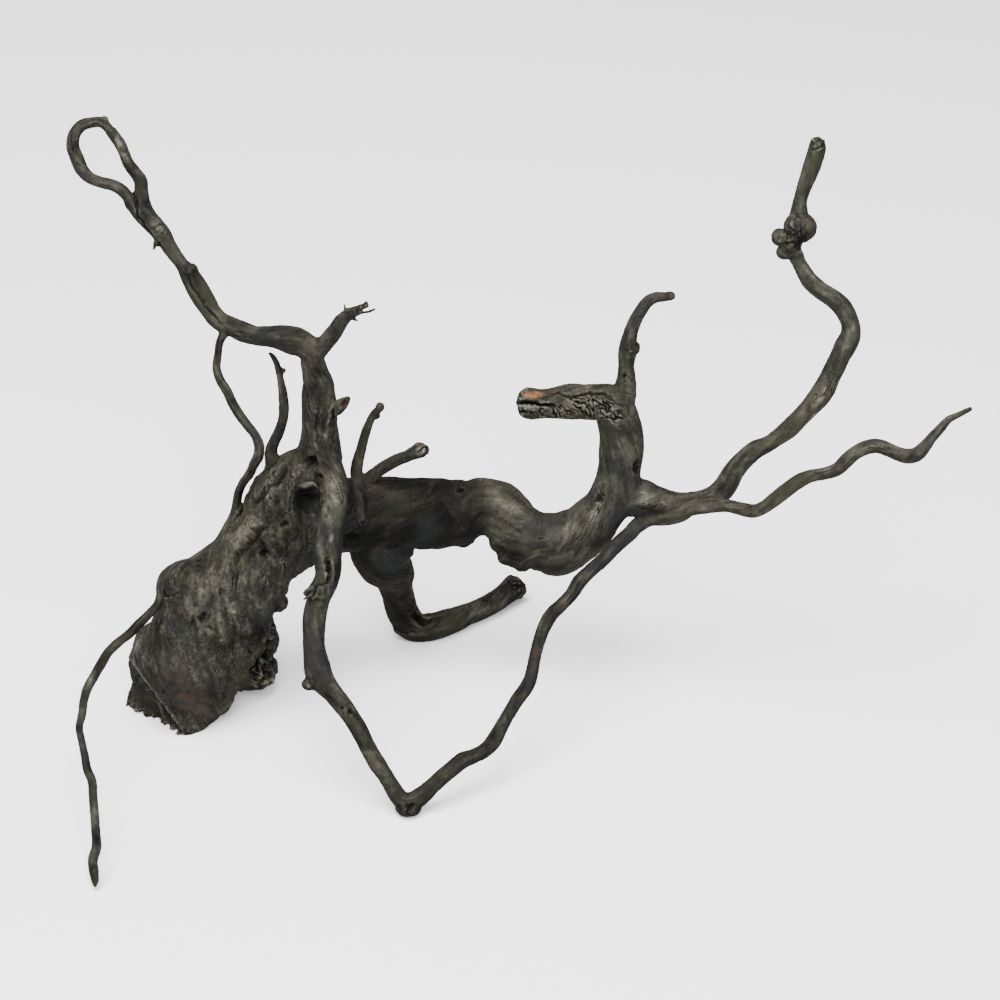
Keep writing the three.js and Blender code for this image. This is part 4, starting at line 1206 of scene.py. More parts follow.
def part_of(skin: Skin, limbs: dict[str, Limb], names: list[str]) -> Array:
    """Finds which piece each quad of the skin belongs to.

    Args:
        skin: the whole skin.
        limbs: the limbs, with the way points where their stretches end.
        names: the pieces' names.

    Returns:
        One number in names a quad.
    """
    piece = np.zeros(len(skin.points), dtype=int)
    for number, limb in enumerate(limbs.values()):
        own = skin.owner == number
        ends = np.array([end for end, _ in limb.parts])
        pieces = np.array([names.index(name) for _, name in limb.parts])
        piece[own] = pieces[np.minimum(np.searchsorted(ends, skin.station[own]), len(pieces) - 1)]
    return piece[skin.quads[:, 0]]


@dataclass
class Cutting:
    """One piece cut out of the skin: its points, faces, and the skin's point that each point came from."""

    points: Array
    corners: Array
    counts: Array
    source: Array
    normals: Array


def cut_out(skin: Skin, quads: Array) -> Cutting:
    """Cuts some of the skin's quads out as one closed piece.

    An edge that only one of the quads has is open. Each ring of open edges is closed by a shallow cone of
    triangles, whose tip lies inside the piece.

    Args:
        skin: the whole skin.
        quads: the piece's quads.

    Returns:
        The closed piece.
    """
    count = len(skin.points)
    first, second = quads.ravel(), np.roll(quads, -1, axis=1).ravel()
    open_edge = ~np.isin(first * count + second, second * count + first)
    start, end = first[open_edge], second[open_edge]
    middles = skin.points[quads].mean(axis=1)[np.flatnonzero(open_edge) // 4]
    ring = np.arange(count)
    while True:
        lowest = np.minimum(ring[start], ring[end])
        if (ring[start] == lowest).all() and (ring[end] == lowest).all():
            break
        np.minimum.at(ring, start, lowest)
        np.minimum.at(ring, end, lowest)
    tips, tip_sources, caps = [], [], []
    for number, name in enumerate(np.unique(ring[start])):
        own = ring[start] == name
        rim = 0.5 * (skin.points[start[own]] + skin.points[end[own]])
        middle = rim.mean(axis=0)
        inward = (middles[own] - rim).mean(axis=0)
        inward = inward / np.linalg.norm(inward)
        depth = CAP_DEPTH * np.linalg.norm(rim - middle, axis=1).mean()
        tips.append(middle + depth * inward)
        tip_sources.append(name)
        caps.append(np.stack([end[own], start[own], np.full(own.sum(), count + number)], axis=1))
    points = np.vstack([skin.points] + [tip[None] for tip in tips])
    normals = np.vstack([skin.normals] + [skin.normals[name][None] for name in tip_sources])
    source = np.concatenate([np.arange(count), np.array(tip_sources, dtype=int)])
    corners = np.concatenate([quads.ravel()] + [cap.ravel() for cap in caps])
    counts = np.concatenate([np.full(len(quads), 4), np.full(sum(len(cap) for cap in caps), 3)])
    used, corners = np.unique(corners, return_inverse=True)
    return Cutting(points[used], corners, counts, source[used], normals[used])


LIMBS = {
    "stump": Limb(STUMP, [(5, "crown"), (99, "stump")], 0.05, 0.25),
    "trunk": Limb(TRUNK, [(2, "crown"), (10, "trunk"), (99, "trunk_bend")], -1.5, 0.25),
    "bend": Limb(BEND, [(1, "trunk"), (99, "trunk_bend")], 0.3, 0.4),
    "snag": Limb(SNAG, [(2, "trunk_bend"), (99, "broken_snag")], 0.6, 0.5),
    "snag_twig": Limb(SNAG_TWIG, [(2.2, "trunk_bend"), (99, "snag_twig")], 0.2, 0.6),
    "right_limb": Limb(RIGHT_LIMB, [(2.9, "trunk_bend"), (31.7, "right_limb"), (99, "knotted_tip")], 0.6, 0.4),
    "knotted_tip": Limb(KNOTTED_TIP, [(0.2, "right_limb"), (99, "knotted_tip")], 0.1, 0.5),
    "lower_right": Limb(LOWER_RIGHT, [(0.4, "trunk_bend"), (7, "right_limb"), (99, "lower_right_branch")], 0.65, 0.4),
    "front_root": Limb(FRONT_ROOT, [(3.4, "crown"), (99, "front_root")], -0.2, 0.4),
    "front_arm": Limb(FRONT_ARM, [(1.7, "front_root"), (25.5, "front_root_arm"), (99, "trunk_bend")], -0.15, 0.4),
    "hind_leg": Limb(HIND_LEG, [(3.4, "trunk"), (99, "hind_leg")], -0.9, 0.35),
    "hind_foot": Limb(HIND_FOOT, [(99, "hind_leg")], -0.2, 0.5),
    "left_riser": Limb(LEFT_RISER, [(3.2, "crown"), (99, "left_riser")], 0.15, 0.6),
    "left_branch": Limb(LEFT_BRANCH, [(1.9, "left_riser"), (19.8, "left_branch"), (99, "loop_twig")], -0.15, 0.5),
    "side_strand": Limb(SIDE_STRAND, [(99, "left_branch")], -0.3, 0.5),
    "loop": Limb(LOOP, [(0.5, "left_branch"), (19.4, "loop_twig"), (99, "left_branch")], 0.1, 0.5),
    "broken_stub": Limb(BROKEN_STUB, [(1.5, "left_riser"), (99, "broken_stub")], 0.4),
    "stub_prong": Limb(STUB_PRONG, [(99, "broken_stub")]),
    "hanging_rootlet": Limb(
        HANGING_ROOTLET, [(1.6, "left_branch"), (15.4, "hanging_rootlet"), (20, "crown"), (99, "stump")]
    ),
    "long_rootlet": Limb(LONG_ROOTLET, [(8.4, "stump"), (99, "long_rootlet")]),
    "inner_twig": Limb(INNER_TWIG, [(2, "crown"), (99, "inner_twig")]),
    "upright_twig": Limb(UPRIGHT_TWIG, [(4.5, "trunk"), (99, "upright_twig")]),
    "short_stub": Limb(SHORT_STUB, [(1.5, "trunk"), (99, "short_stub")]),
    "ear": Limb(EAR, [(99, "left_riser")]),
    "frayed_spur": Limb(FRAYED_SPUR, [(99, "front_root")], -0.7, 0.9),
    "barb": Limb(BARB, [(99, "left_branch")], -0.3),
    "elbow_loop": Limb(ELBOW_LOOP, [(99, "hind_leg")], 0.3),
    "elbow_strand": Limb(ELBOW_STRAND, [(99, "hind_leg")], 0.5),
}
for count, strand in enumerate(SPUR_STRANDS):
    LIMBS[f"spur_strand_{count}"] = Limb(strand, [(99, "front_root")], 0.6)
for count, spine in enumerate(STUB_SPINES):
    LIMBS[f"stub_spine_{count}"] = Limb(spine, [(99, "broken_stub")], 0.4)

BURL = Burl(
    slot="burl_wood",
    pieces=("stump", "crown"),
    limbs=("stump", "trunk", "left_riser", "front_root", "hanging_rootlet", "long_rootlet", "inner_twig"),
    knobs=[
        (-94.5, 19, 4.2, -5.0, 1.1, 20), (-90.5, 12, 2.2, -1.8, 1.4, -40), (-110.5, 11, 4.2, -2.6, 1.8, 50),
        (-96.5, 0, 8.5, -5.5, 1.1, 0), (-107.7, -12, 2.6, -2.2, 1.3, 30),
        (-118.3, -27.3, 3.4, -2.6, 1.2, 0), (-112.4, 0.5, 4.0, -1.4, 1.3, 70),
        (-105, -20, 5.0, -0.9, 1.5, 60), (-159, -38, 9.2, 2.0, 1.2, 40),
        (-144, -42, 11.5, 2.2, 1.2, -10), (-149, -51, 5.8, 1.4, 1.3, 60), (-147.6, -58.8, 3.8, -2.0, 1.3, 60),
        (-132.5, -56, 5.8, 1.8, 1.2, 70), (-128.5, -64, 5.2, 1.9, 1.2, 80),
        (-122, -53, 6.3, 1.9, 1.3, 50), (-137, -68, 5.8, 1.0, 1.2, 60), (-147, -68, 5.2, 0.9, 1.3, 90),
        (-152, -62, 4.6, -1.2, 1.6, 60), (-138.8, -51.5, 5.5, 1.8, 1.2, 20),
        (-133, -72, 8.0, -2.2, 1.4, 60), (-120, -70, 6.9, -3.6, 2.2, 80),
        (-127, -81, 4.6, -1.1, 1.6, 20), (-118, -86, 3.4, -1.2, 1.8, 60),
    ],
    strokes=[
        ([(-117, -7), (-128, -17), (-140, -28)], 6.0, 2.8), ([(-117, -12), (-126, -22), (-134, -32)], 3.0, -2.8),
        ([(-113, 8), (-119, 3), (-125, -3)], 2.6, -2.0), ([(-99, 7), (-94, 7.5), (-90, 3)], 2.6, 1.6),
        ([(-125, -75), (-121, -80), (-123, -88)], 1.4, -1.8), ([(-106, -56), (-113, -64), (-117, -72)], 2.6, 1.4),
    ],
    breaks=[(-119, -86, 10, 1.1, 1.4, 40), (-112, -80, 6, 1.3, 1, 0), (-117, -66, 8, 0.5, 2.0, 80),
            (-96, 20, 5, 0.8, 1.2, 0)],
    stains=[
        (Stain.SLATE, [(-163, -72, 9, 0.6, 2.4, 75), (-135, -24, 5, 0.6, 2.2, 45), (-88, -8, 7, 0.5, 2.0, 80)]),
        (Stain.RUST, [(-156, -97, 15, 0.8, 1.7, -50), (-108, -14, 6, 0.5, 1.6, 60), (-116, -96, 8, 0.4, 2.4, 30)]),
        (Stain.OLIVE, [(-158, -40, 9, 0.5, 1.2, 30), (-110, -50, 6, 0.8, 1.2, 0), (-128, -18, 5, 0.5, 2.4, 45)]),
        (Stain.WORN, [(-96, 7.5, 3.5, 0.5, 2.0, 0), (-143, -40, 7, 0.3, 1.6, 0)]),
    ],
    # Among these, the dark patch in the pit below the crown's ledge is a painted shadow, and the pale ridge and the
    # dark cleft beside it are a painted highlight and painted shade
    tones=[
        (-104, -8, 14, -0.9, 1.8, 60), (-120, -28, 10, -0.5, 1.4, 45), (-113, -4, 9, -0.6, 1.5, 60),
        (-128, -17.5, 6, 2.4, 2.2, 45), (-122, -23, 4, -1.1, 3.0, 48), (-97, -1, 8, -1.5, 1.2, 0), (-122, -40, 6, 0.5, 2.0, 10), (-146, -44, 8, 0.5, 1.5, -20),
        (-121, -66, 9, -0.7, 1.6, 80), (-166, -72, 10, -0.5, 1.8, 75), (-150, -98, 14, 0.3, 1.4, -40),
        (-133, -100, 10, 0.4, 1.5, 40), (-178, -66, 5, 0.6, 3.0, 70),
    ],
)

BOUGHS = Assembly(
    slot="limb_wood",
    pieces=("trunk", "trunk_bend", "hind_leg", "right_limb", "front_root", "front_root_arm", "left_riser"),
    limbs=("trunk", "bend", "hind_leg", "hind_foot", "right_limb", "lower_right", "front_root", "front_arm",
           "left_riser", "ear", "frayed_spur", "upright_twig", "short_stub"),
    knobs=[
        (-20, 4.5, 1.8, -2.0, 1.2, 0), (-74, -18.5, 3.0, -3.0, 1.6, 0), (49.5, 1, 2.4, -2.4, 1.2, 70),
        (68.5, 16, 2.6, -3.0, 1.8, 90), (-43.5, -58, 1.6, -2.2, 1.2, 0), (-37.5, -62, 1.5, -2.0, 1.5, 0),
        (-35, -61.5, 1.3, -1.8, 1.2, 0), (-75.25, -106, 1.9, -2.0, 1.4, 60), (-78.5, -104, 1.2, -1.2, 1.2, 60),
        (-96, -92, 3.0, 0.9, 1.2, 0), (-78.5, 48.3, 2.0, -2.2, 1.3, 50), (9, -31, 4.0, 0.8, 1.2, 20), (-89.8, -46, 1.7, -2.6, 1.2, 60),
        (-93.5, -46.5, 1.2, -1.6, 2.0, 45), (-38.5, -58.5, 5.0, -3.4, 1.3, -25), (-36, 26, 1.7, -1.6, 1.3, 70),
        (-41.5, 28, 1.6, 0.7, 1.4, 30), (-37.5, 21.5, 1.4, -0.9, 1.3, 0),
    ],
    strokes=[
        ([(-90.5, -20), (-90, -30), (-89.5, -38), (-92, -46)], 4.2, 1.3),
        ([(-86, -29), (-85.3, -35), (-86, -41)], 1.9, -3.0), ([(-88, 28), (-86, 40), (-83, 50)], 1.8, 1.2),
        ([(-90, 22), (-92, 36), (-90, 52)], 1.5, -0.5), ([(-84, 24), (-82.5, 36), (-84, 48)], 1.4, -1.0),
        ([(-55, -63), (-48, -67), (-40, -66)], 1.1, -1.0),
    ],
    notches=[(-8.8, -21.5, 5.5, 3.6), (-2.5, -26.5, 6.0, 2.6), (15, -34.5, 2.4, 1.0)],
    breaks=[(8, -42, 6, 1.1, 1.4, -60), (-38.5, -59, 6, 1.0, 1.6, -20), (-38.5, 24.5, 4, 1.1, 1, 0),
            (-91, -46, 5, 0.8, 1.2, 30), (-46, -154, 6, 0.8, 1.2, 0), (-95, -91, 4, 0.6, 1, 0)],
    stains=[
        (Stain.WORN, [(-83, 4, 8, 0.35, 2.8, 84), (-85, -20, 3, 0.5, 4.0, 80), (160, 50, 3, 0.7, 3.0, 50)]),
        (Stain.RUST, [(25, -9, 5, 0.7, 2.0, 0), (-78, 48, 3, 0.8, 1.4, 50), (-84, -73, 4, 0.5, 1.5, 80)]),
        (Stain.SLATE, [(-84, -62, 5, 0.6, 2.6, 90), (-50, -46, 5, 0.6, 2.0, 70), (-60, -2, 8, 0.4, 2.0, 0)]),
        (Stain.OLIVE, [(-78, -105, 4, 0.5, 3.0, -50), (-28, -136, 4, 0.6, 3.0, 38), (-2, -1, 8, 0.4, 2.0, -30)]),
        (Stain.RUST, [(17.7, -77, 3.5, 0.7, 3.0, 75), (-52, 4, 6, 0.5, 1.6, -20), (-41, -65, 4, 0.4, 1.5, 0)]),
    ],
    # Among these, the pale top edge of the bend is a painted highlight, and the dark underside of the bend and the
    # dark side of the spur's raised strand are painted shade
    tones=[
        (-52, 3.6, 7, 0.8, 1.6, -20), (-34, 1.3, 4, 0.4, 1.4, 0), (-26, -12, 10, -0.4, 1.5, 0),
        (-4.8, 6, 7, 1.0, 1.8, -40), (-55.5, -10.5, 4, 0.6, 3.0, 0), (9, -6, 5, 0.7, 3.0, -25),
        (7, -31, 8, -1.2, 1.5, -40), (27, -34, 6, -0.9, 3.0, 0), (50, 10, 6, 0.3, 2.0, 70),
        (72, 1, 5, 0.7, 2.0, -20), (76, -4.5, 2.6, -1.4, 4.0, -8), (-9.5, -55.4, 2.5, 1.2, 3.0, 22),
        (-26.5, -63.6, 3, 0.9, 1.5, 20), (-41, -66, 5, 0.9, 1.6, 0), (-83, -87, 2.2, 1.0, 4.0, 105),
        (-63.7, -130, 3, 0.7, 4.0, -62), (-46, -154, 6, -0.6, 1.2, 0), (-4.7, -121, 4, -0.7, 2.0, 50),
        (35.4, -47.7, 3, 0.9, 3.0, 50), (44.8, -37, 3, 0.6, 2.0, 50), (156.7, 41, 1.9, 2.2, 5.0, 50),
        (163, 56.6, 3, 0.9, 2.0, 60), (119.7, 15.4, 3, 0.9, 2.0, 60), (110.8, 6.4, 3.5, -0.9, 2.0, 40),
        (176, 85.5, 3, 0.6, 1.5, 80), (154, 114.8, 2.5, 1.0, 3.0, -50), (-86.4, 72, 4, 0.9, 2.0, 80),
        (-93.5, 57, 5, -1.0, 2.5, 85), (-85.3, 49, 4.5, 1.0, 2.0, 80), (-77, 48, 2.5, -1.0, 1.5, 50),
        (-74, -21, 9, -0.9, 2.0, 0), (-60, -20, 9, -0.6, 2.0, 0), (-81.5, -37, 4, -1.7, 3.4, 82),
        (-91, -47.5, 4, -1.0, 1.3, 30), (-38.5, -58.5, 6, -1.0, 1.4, -25), (-92, -16, 2.5, 0.9, 4.0, 85), (-83, 2, 9, 1.1, 2.6, 84),
        (3, -3, 7, 0.9, 2.6, -38), (32, -17, 6, 0.7, 2.6, 10), (-14, -14, 9, -0.5, 1.6, 90),
    ],
)

SNAGS = Snags(
    slot="snag_wood",
    pieces=("broken_snag", "broken_stub"),
    limbs=("snag", "bend", "broken_stub", "stub_prong"),
    strokes=[
        ([(6, 48.8), (13, 48.8), (20, 48), (27, 47)], 1.5, -4.2), ([(7, 43.8), (13, 43.6)], 1.3, -3.2),
        ([(24, 51.5), (30, 53.5), (36, 51), (42, 53.5), (53, 53), (61, 46.5)], 1.4, -1.2),
    ],
    knobs=[
        (8.5, 46, 1.8, -3.0, 1.0, 0), (9.5, 52.5, 2.0, -1.0, 1.0, 0), (8.5, 40.8, 1.6, 1.2, 1.4, 20),
        (13, 55.5, 2.0, 0.9, 1.4, 0), (33, 52, 4, 0.7, 1.8, -30),
    ],
    breaks=[(9, 46, 6, 1.3, 1.2, 90), (-69, 96, 4, 0.8, 1.6, 40)],
    stains=[
        (Stain.FRESH, [(17, 52.4, 2.6, 1.4, 3.9, -3), (-69, 97, 2.0, 0.9, 2.2, 25)]),
    ],
)

TWIGS = Assembly(
    slot="twig_wood",
    pieces=("snag_twig", "knotted_tip", "lower_right_branch", "left_branch", "loop_twig", "hanging_rootlet",
            "inner_twig", "upright_twig", "short_stub", "long_rootlet"),
    limbs=("snag_twig", "knotted_tip", "right_limb", "lower_right", "left_branch", "side_strand", "loop",
           "hanging_rootlet", "inner_twig", "upright_twig", "short_stub", "long_rootlet"),
    knobs=[
        (66, 75.5, 2.4, 0.6, 1.3, 0), (62, 62, 1.4, -1.0, 1.2, 0), (157, 179.5, 1.8, 0.8, 1.2, 0),
        (161.5, 180, 1.6, 0.7, 1.0, 0), (159.2, 180.5, 1.0, -0.8, 1.0, 0), (150, 128, 3.0, -1.6, 1.6, 60),
    ],
    strokes=[
        ([(-156, 112), (-153, 106), (-146, 96), (-139, 88.5)], 1.3, -1.0),
        ([(-183, 154), (-180.5, 141), (-174, 131.5), (-167, 124)], 1.2, -1.1),
    ],
    breaks=[(147, 132, 12, 0.75, 1.3, 70), (159, 178, 5, 0.8, 1.6, 80), (-154, 114, 6, 0.35, 1.6, -50),
            (66, 76, 5, 0.35, 1.2, 0), (236, 47, 4, 0.6, 1, 0), (-196, 188, 6, 0.6, 2.0, 0),
            (-170, 134, 5, 0.6, 1.5, -50)],
    stains=[
        (Stain.WORN, [(-189, 175, 3.5, 0.8, 3.5, -65), (146, 138, 2.2, 0.9, 2.0, 75)]),
        (Stain.RUST, [(-168, 131.6, 3, 0.8, 1.5, -45), (169.5, 15.4, 3.5, 0.7, 3.0, 25), (125, -5, 3, 0.7, 2.0, 0)]),
    ],
    tones=[
        (-172, 136.7, 4, 1.4, 2.2, -48), (-177, 148, 3, -1.0, 2.0, -60), (-160, 122, 4, 0.7, 2.0, -50),
        (-213, 176, 4, -0.5, 3.0, 80), (-203, 160, 3, 0.4, 2.5, -20), (-150, 106, 3, -0.8, 3.0, -60),
        (-143, 96, 2.5, 0.7, 2.0, -60), (-118, 83, 3, 0.5, 3.0, -5), (-105, 78, 5, -0.6, 1.6, -10),
        (206.5, 21.7, 3.5, -0.9, 1.5, 0), (192, 28, 3, 0.5, 2.0, 0), (217, 32, 2, 0.6, 3.0, 50),
        (150, 130, 4, -0.9, 1.4, 50), (139, 134, 3, 0.6, 1.3, 30), (158, 173, 3, 0.6, 1.5, 80),
        (66, 77, 3, -0.9, 1.4, 0), (78, 101, 3, 0.6, 2.0, 0), (64, 92, 2.5, 0.6, 3.0, 70),
        (-64, 44, 1.5, -1.0, 1.3, 0), (-40, 25, 3.5, 0.8, 1.3, 10), (-70, 20, 2.5, 0.4, 3.0, 80),
        (-199.8, -79.5, 4.5, -1.3, 2.2, 50), (-182, -64, 6, -1.0, 3.0, 42), (-205.5, -93, 3.5, 1.0, 2.0, 70),
        (-210.5, -113.5, 3, -1.0, 1.0, 0), (-206.5, -133, 3.5, -0.9, 2.0, -60), (-202.6, -156, 3.5, 1.1, 2.2, 90),
        (-201.5, -169, 3, -0.7, 2.0, 90), (-203.7, -184, 1.6, -1.6, 2.0, 80), (-112, 68, 1.5, 0.8, 3.0, -70), (-127, 38, 1.8, 0.8, 3.0, -50), (-136, -13, 2, 0.6, 3.0, 65),
    ],
)

PARTS = [BURL, BOUGHS, SNAGS, TWIGS]


Link = Union["Term", float, Colour, bpy.types.NodeSocket]


class Term:
    """A shader socket on which arithmetic can be written."""

    def __init__(self, graph: "Graph", socket: bpy.types.NodeSocket) -> None:
        """Keeps the socket and the graph that its sums are added to."""
        self.graph = graph
        self.socket = socket

    def __add__(self, other: Link) -> "Term":
        """Sum."""
        return self.graph.maths("ADD", self, other)

    __radd__ = __add__

    def __sub__(self, other: Link) -> "Term":
        """Difference."""
        return self.graph.maths("SUBTRACT", self, other)

    def __rsub__(self, other: Link) -> "Term":
        """Difference from a number."""
        return self.graph.maths("SUBTRACT", other, self)

    def __mul__(self, other: Link) -> "Term":
        """Product."""
        return self.graph.maths("MULTIPLY", self, other)

    __rmul__ = __mul__

    def held(self) -> "Term":
        """The same, held between 0 and 1."""
        return Term(self.graph, self.graph.node("ShaderNodeClamp", {}, {"Value": self}).outputs[0])


class Graph:
    """The nodes of one material."""

    def __init__(self, name: str) -> None:
        """Starts an empty material of that name."""
        self.material = bpy.data.materials.new(name)
        self.material.use_nodes = True
        self.tree = self.material.node_tree
        self.tree.nodes.clear()

    def node(self, kind: str, settings: dict, values: dict) -> bpy.types.Node:
        """Adds a node.

        Args:
            kind: the node's type.
            settings: its own settings, set first; "stops" are a ramp's (place, colour) pairs.
            values: numbers, colours or links for its sockets, by name or number.

        Returns:
            The node.
        """
        made = self.tree.nodes.new(kind)
        for setting, value in settings.items():
            if setting == "stops":
                ramp = made.color_ramp.elements
                while len(ramp) < len(value):
                    ramp.new(1.0)
                for element, (place, colour) in zip(ramp, value):
                    element.position = place
                    element.color = (*colour, 1.0)
            else:
                setattr(made, setting, value)
        for key, value in values.items():
            socket = made.inputs[key]
            if isinstance(value, Term):
                self.tree.links.new(value.socket, socket)
            elif isinstance(value, bpy.types.NodeSocket):
                self.tree.links.new(value, socket)
            elif socket.type == "RGBA":
                socket.default_value = (*value, 1.0)
            else:
                socket.default_value = value
        return made

    def maths(self, operation: str, first: Link, second: Link) -> Term:
        """One sum of two numbers or terms."""
        return Term(self, self.node("ShaderNodeMath", {"operation": operation}, {0: first, 1: second}).outputs[0])

    def mix(self, share: Link, first: Link, second: Link, blend: str = "MIX") -> Term:
        """Mixes the second colour into the first by a share."""
        settings = {"data_type": "RGBA", "blend_type": blend}
        made = self.node("ShaderNodeMix", settings, {0: share, 6: first, 7: second})
        return Term(self, made.outputs[2])

    def attribute(self, name: str) -> Term:
        """A number that the mesh holds at each point."""
        return Term(self, self.node("ShaderNodeAttribute", {"attribute_name": name}, {}).outputs["Fac"])

    def noise(self, per_metre: float, detail: float = 3.0, roughness: float = 0.6) -> Term:
        """Noise on Object coordinates, with so many cells a metre."""
        place = self.node("ShaderNodeTexCoord", {}, {}).outputs["Object"]
        values = {"Vector": place, "Scale": per_metre, "Detail": detail, "Roughness": roughness}
        return Term(self, self.node("ShaderNodeTexNoise", {}, values).outputs[0])

    def span(self, value: Link, low: float, high: float) -> Term:
        """How far a value has come from low to high, held between 0 and 1."""
        values = {"Value": value, "From Min": low, "From Max": high}
        return Term(self, self.node("ShaderNodeMapRange", {"interpolation_type": "SMOOTHSTEP"}, values).outputs[0])

    def ramp(self, value: Link, stops: list[tuple[float, Colour]]) -> Term:
        """A colour from a row of stops."""
        return Term(self, self.node("ShaderNodeValToRGB", {"stops": stops}, {0: value}).outputs[0])


@dataclass(frozen=True)
class RootWood:
    """The finish of dry, weathered root wood. Colours are linear.

    Attributes:
        slot: the record's material slot.
        hollow: the near black of cracks, and of the painted shade in deep hollows and on undersides.
        dark, body, light: from the grain's furrows to its crests.
        crest: the grey-tan of rubbed edges, also the painted highlight on raised relief.
        grit: height of the finest roughness, in metres.
    """

    slot: str
    hollow: Colour = (0.0025, 0.0025, 0.0022)
    dark: Colour = (0.0052, 0.0050, 0.0042)
    body: Colour = (0.0150, 0.0141, 0.0111)
    light: Colour = (0.0375, 0.0352, 0.0275)
    crest: Colour = (0.090, 0.085, 0.067)
    rust: Colour = (0.0225, 0.0152, 0.0112)
    fresh: Colour = (0.115, 0.060, 0.027)
    olive: Colour = (0.0195, 0.0200, 0.0120)
    slate: Colour = (0.0098, 0.0108, 0.0117)
    sawn: Colour = (0.0125, 0.0104, 0.0086)
    grit: float = 0.00018

    def material(self) -> bpy.types.Material:
        """Builds the material.

        The tone is the grain's attribute with fine noise, and carries painted shade. Relief paints light and shade:
        it brightens what stands out as a painted highlight and darkens what lies deep as painted shade.
        Broad noise and the stains tint it.

        Returns:
            The material.
        """
        graph = Graph(self.slot)
        tone = graph.attribute("tone")
        relief = graph.attribute("relief")
        speck = graph.noise(900.0, 4.0, 0.7)
        blotch = graph.noise(62.0, 3.0, 0.55)
        tint = graph.noise(27.0, 2.0, 0.5)
        # Painted light and shade: relief makes what stands out paler as a painted highlight and what lies deep darker
        # as painted shade
        level = 0.50 + tone * 0.20 + relief * 0.30 + (speck - 0.5) * 0.22 + (blotch - 0.5) * 0.58
        stops = [(0.0, self.hollow), (0.22, self.dark), (0.5, self.body), (0.76, self.light), (1.0, self.crest)]
        colour = graph.ramp(level.held(), stops)
        colour = graph.mix(graph.span(tint, 0.52, 0.72) * 0.55, colour, self.olive)
        colour = graph.mix(graph.span(tint, 0.46, 0.30) * 0.55, colour, self.slate)
        colour = graph.mix(graph.span(blotch, 0.60, 0.74) * 0.40, colour, self.rust)
        for stain, paint in (
            (Stain.OLIVE, self.olive),
            (Stain.SLATE, self.slate),
            (Stain.RUST, self.rust),
            (Stain.SAWN, self.sawn),
            (Stain.WORN, self.crest),
            (Stain.FRESH, self.fresh),
        ):
            broken = graph.span(speck + graph.attribute(stain.value), 0.55, 1.15)
            colour = graph.mix((broken * graph.attribute(stain.value)).held(), colour, paint)
        # Painted shade: the deepest hollows are mixed towards near black
        deep = graph.span(relief, -0.25, -1.3)
        colour = graph.mix(deep * 0.85, colour, self.hollow)
        roughness = 0.80 + (speck - 0.5) * 0.25
        height = graph.noise(1500.0, 5.0, 0.75) + speck * 1.2
        bump = graph.node("ShaderNodeBump", {}, {"Strength": 0.8, "Distance": self.grit, "Height": height})
        values = {
            "Base Color": colour,
            "Roughness": roughness,
            "Specular IOR Level": 0.03,
            "Normal": bump.outputs[0],
        }
        shader = graph.node("ShaderNodeBsdfPrincipled", {}, values)
        graph.node("ShaderNodeOutputMaterial", {}, {"Surface": shader.outputs[0]})
        return graph.material


def dress(skin: Skin, face_piece: Array, names: list[str], part: Assembly) -> None:
    """Makes a part's pieces with their attributes and finish, and sets them in place of their solids.

    Args:
        skin: the whole skin, finished.
        face_piece: the piece of each quad.
        names: all pieces' names, in the order of their numbers.
        part: the part whose pieces are made.
    """
    material = RootWood(part.slot).material()
    values = {stain.value: amounts for stain, amounts in skin.colour_marks.items()}
    values["tone"] = skin.tone
    values["relief"] = skin.standing
    for name in part.pieces:
        cutting = cut_out(skin, skin.quads[face_piece == names.index(name)])
        mesh = make_mesh(name + "_wood", cutting.points, cutting.corners, cutting.counts)
        mesh.normals_split_custom_set_from_vertices(cutting.normals)
        for key, amounts in values.items():
            held = mesh.attributes.new(key, "FLOAT", "POINT")
            held.data.foreach_set("value", amounts[cutting.source].astype(np.float32))
        mesh.materials.append(material)
        piece = show(mesh)
        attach(piece, BODY)
        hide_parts(name)
        LOG.info("%s: %d faces", piece.name, len(cutting.counts))


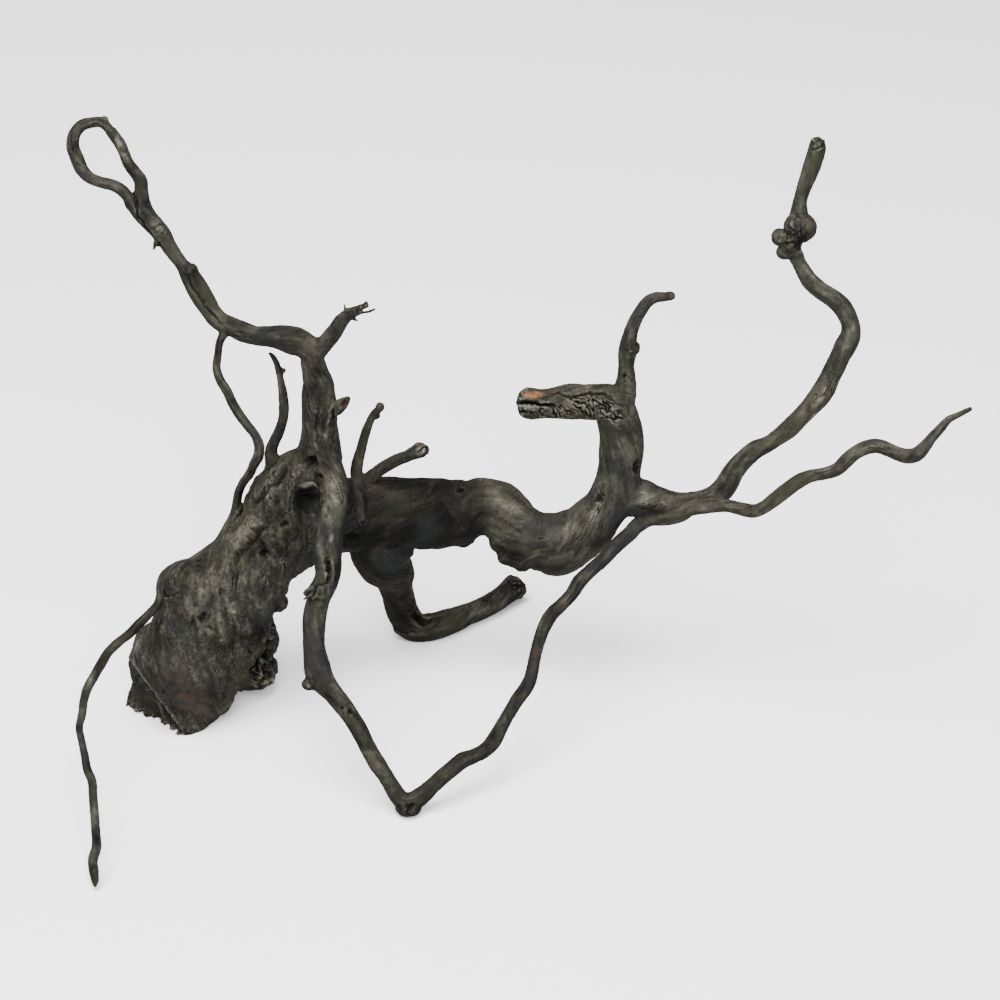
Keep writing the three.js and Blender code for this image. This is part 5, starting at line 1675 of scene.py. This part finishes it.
@dataclass
class Studio:
    """A pale floor, soft light from above, and the eye of the sighting line."""

    floor_half: float = 6.0
    floor_drop: float = 0.0002
    floor_colour: Colour = (0.93, 0.93, 0.93)
    lens: float = 115.2

    def floor(self) -> None:
        """Lays a level quad just under the wood."""
        half = self.floor_half * METRE
        corner = np.array([[-half, -half], [half, -half], [half, half], [-half, half]])
        points = np.column_stack([corner, np.full(4, -self.floor_drop * METRE)])
        mesh = make_mesh("floor", points, np.arange(4), np.array([4]))
        graph = Graph("pale_floor")
        shader = graph.node("ShaderNodeBsdfPrincipled", {}, {"Base Color": self.floor_colour, "Roughness": 0.9})
        graph.node("ShaderNodeOutputMaterial", {}, {"Surface": shader.outputs[0]})
        mesh.materials.append(graph.material)
        show(mesh)

    def lamp(self, name: str, place: Colour, size: float, power: float) -> None:
        """Hangs a soft square lamp that faces the wood.

        Args:
            name: the lamp's name.
            place: where it hangs, in metres.
            size: its width, in metres.
            power: its power, in watts.
        """
        light = bpy.data.lights.new(name, "AREA")
        light.size = size
        light.energy = power
        lamp = bpy.data.objects.new(name, light)
        lamp.location = place
        down = (-lamp.location).to_track_quat("-Z", "Y")
        lamp.rotation_euler = down.to_euler()
        bpy.context.scene.collection.objects.link(lamp)

    def eye(self) -> None:
        """Sets the camera on the sighting line, level with the routes' own eye."""
        camera = bpy.data.objects.new("eye", bpy.data.cameras.new("eye"))
        camera.data.lens = self.lens
        camera.data.sensor_width = 36.0
        camera.data.clip_end = 50.0
        x = -SIGHT.centre_x
        y = -SIGHT.centre_y - SIGHT.reach()
        z = SIGHT.reference_height + SIGHT.rise()
        camera.location = (x / METRE, y / METRE, z / METRE)
        camera.rotation_euler = (math.pi / 2 - SIGHT.tilt, 0.0, 0.0)
        bpy.context.scene.collection.objects.link(camera)
        bpy.context.scene.camera = camera

    def build(self) -> None:
        """Builds the floor, the lamps, the pale air and the camera."""
        self.floor()
        self.lamp("high_lamp", (-0.35, -0.55, 1.9), 1.3, 112.0)
        self.lamp("eye_lamp", (0.2, -1.7, 1.5), 0.9, 58.0)
        world = bpy.data.worlds.new("air")
        world.use_nodes = True
        world.node_tree.nodes["Background"].inputs["Color"].default_value = (1.0, 1.0, 1.0, 1.0)
        world.node_tree.nodes["Background"].inputs["Strength"].default_value = 0.95
        bpy.context.scene.world = world
        self.eye()


def main() -> None:
    """Loads the solids, builds the skin, dresses its pieces and sets up the studio."""
    logging.basicConfig(level=logging.INFO, format="%(name)s %(message)s")
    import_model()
    skin = Skin(LIMBS, LUMPS, SKIN_STEP)
    LOG.info("skin: %d points", len(skin.points))
    Weather().wear(skin)
    for part in PARTS:
        part.carve(skin)
        part.stain(skin)
    skin.stand()
    BURL.saw(skin)
    skin.normals = skin.face_normals()
    skin.finish_relief()
    names = [name for part in PARTS for name in part.pieces]
    face_piece = part_of(skin, LIMBS, names)
    for part in PARTS:
        dress(skin, face_piece, names, part)
    Studio().build()


if __name__ == "__main__":
    main()
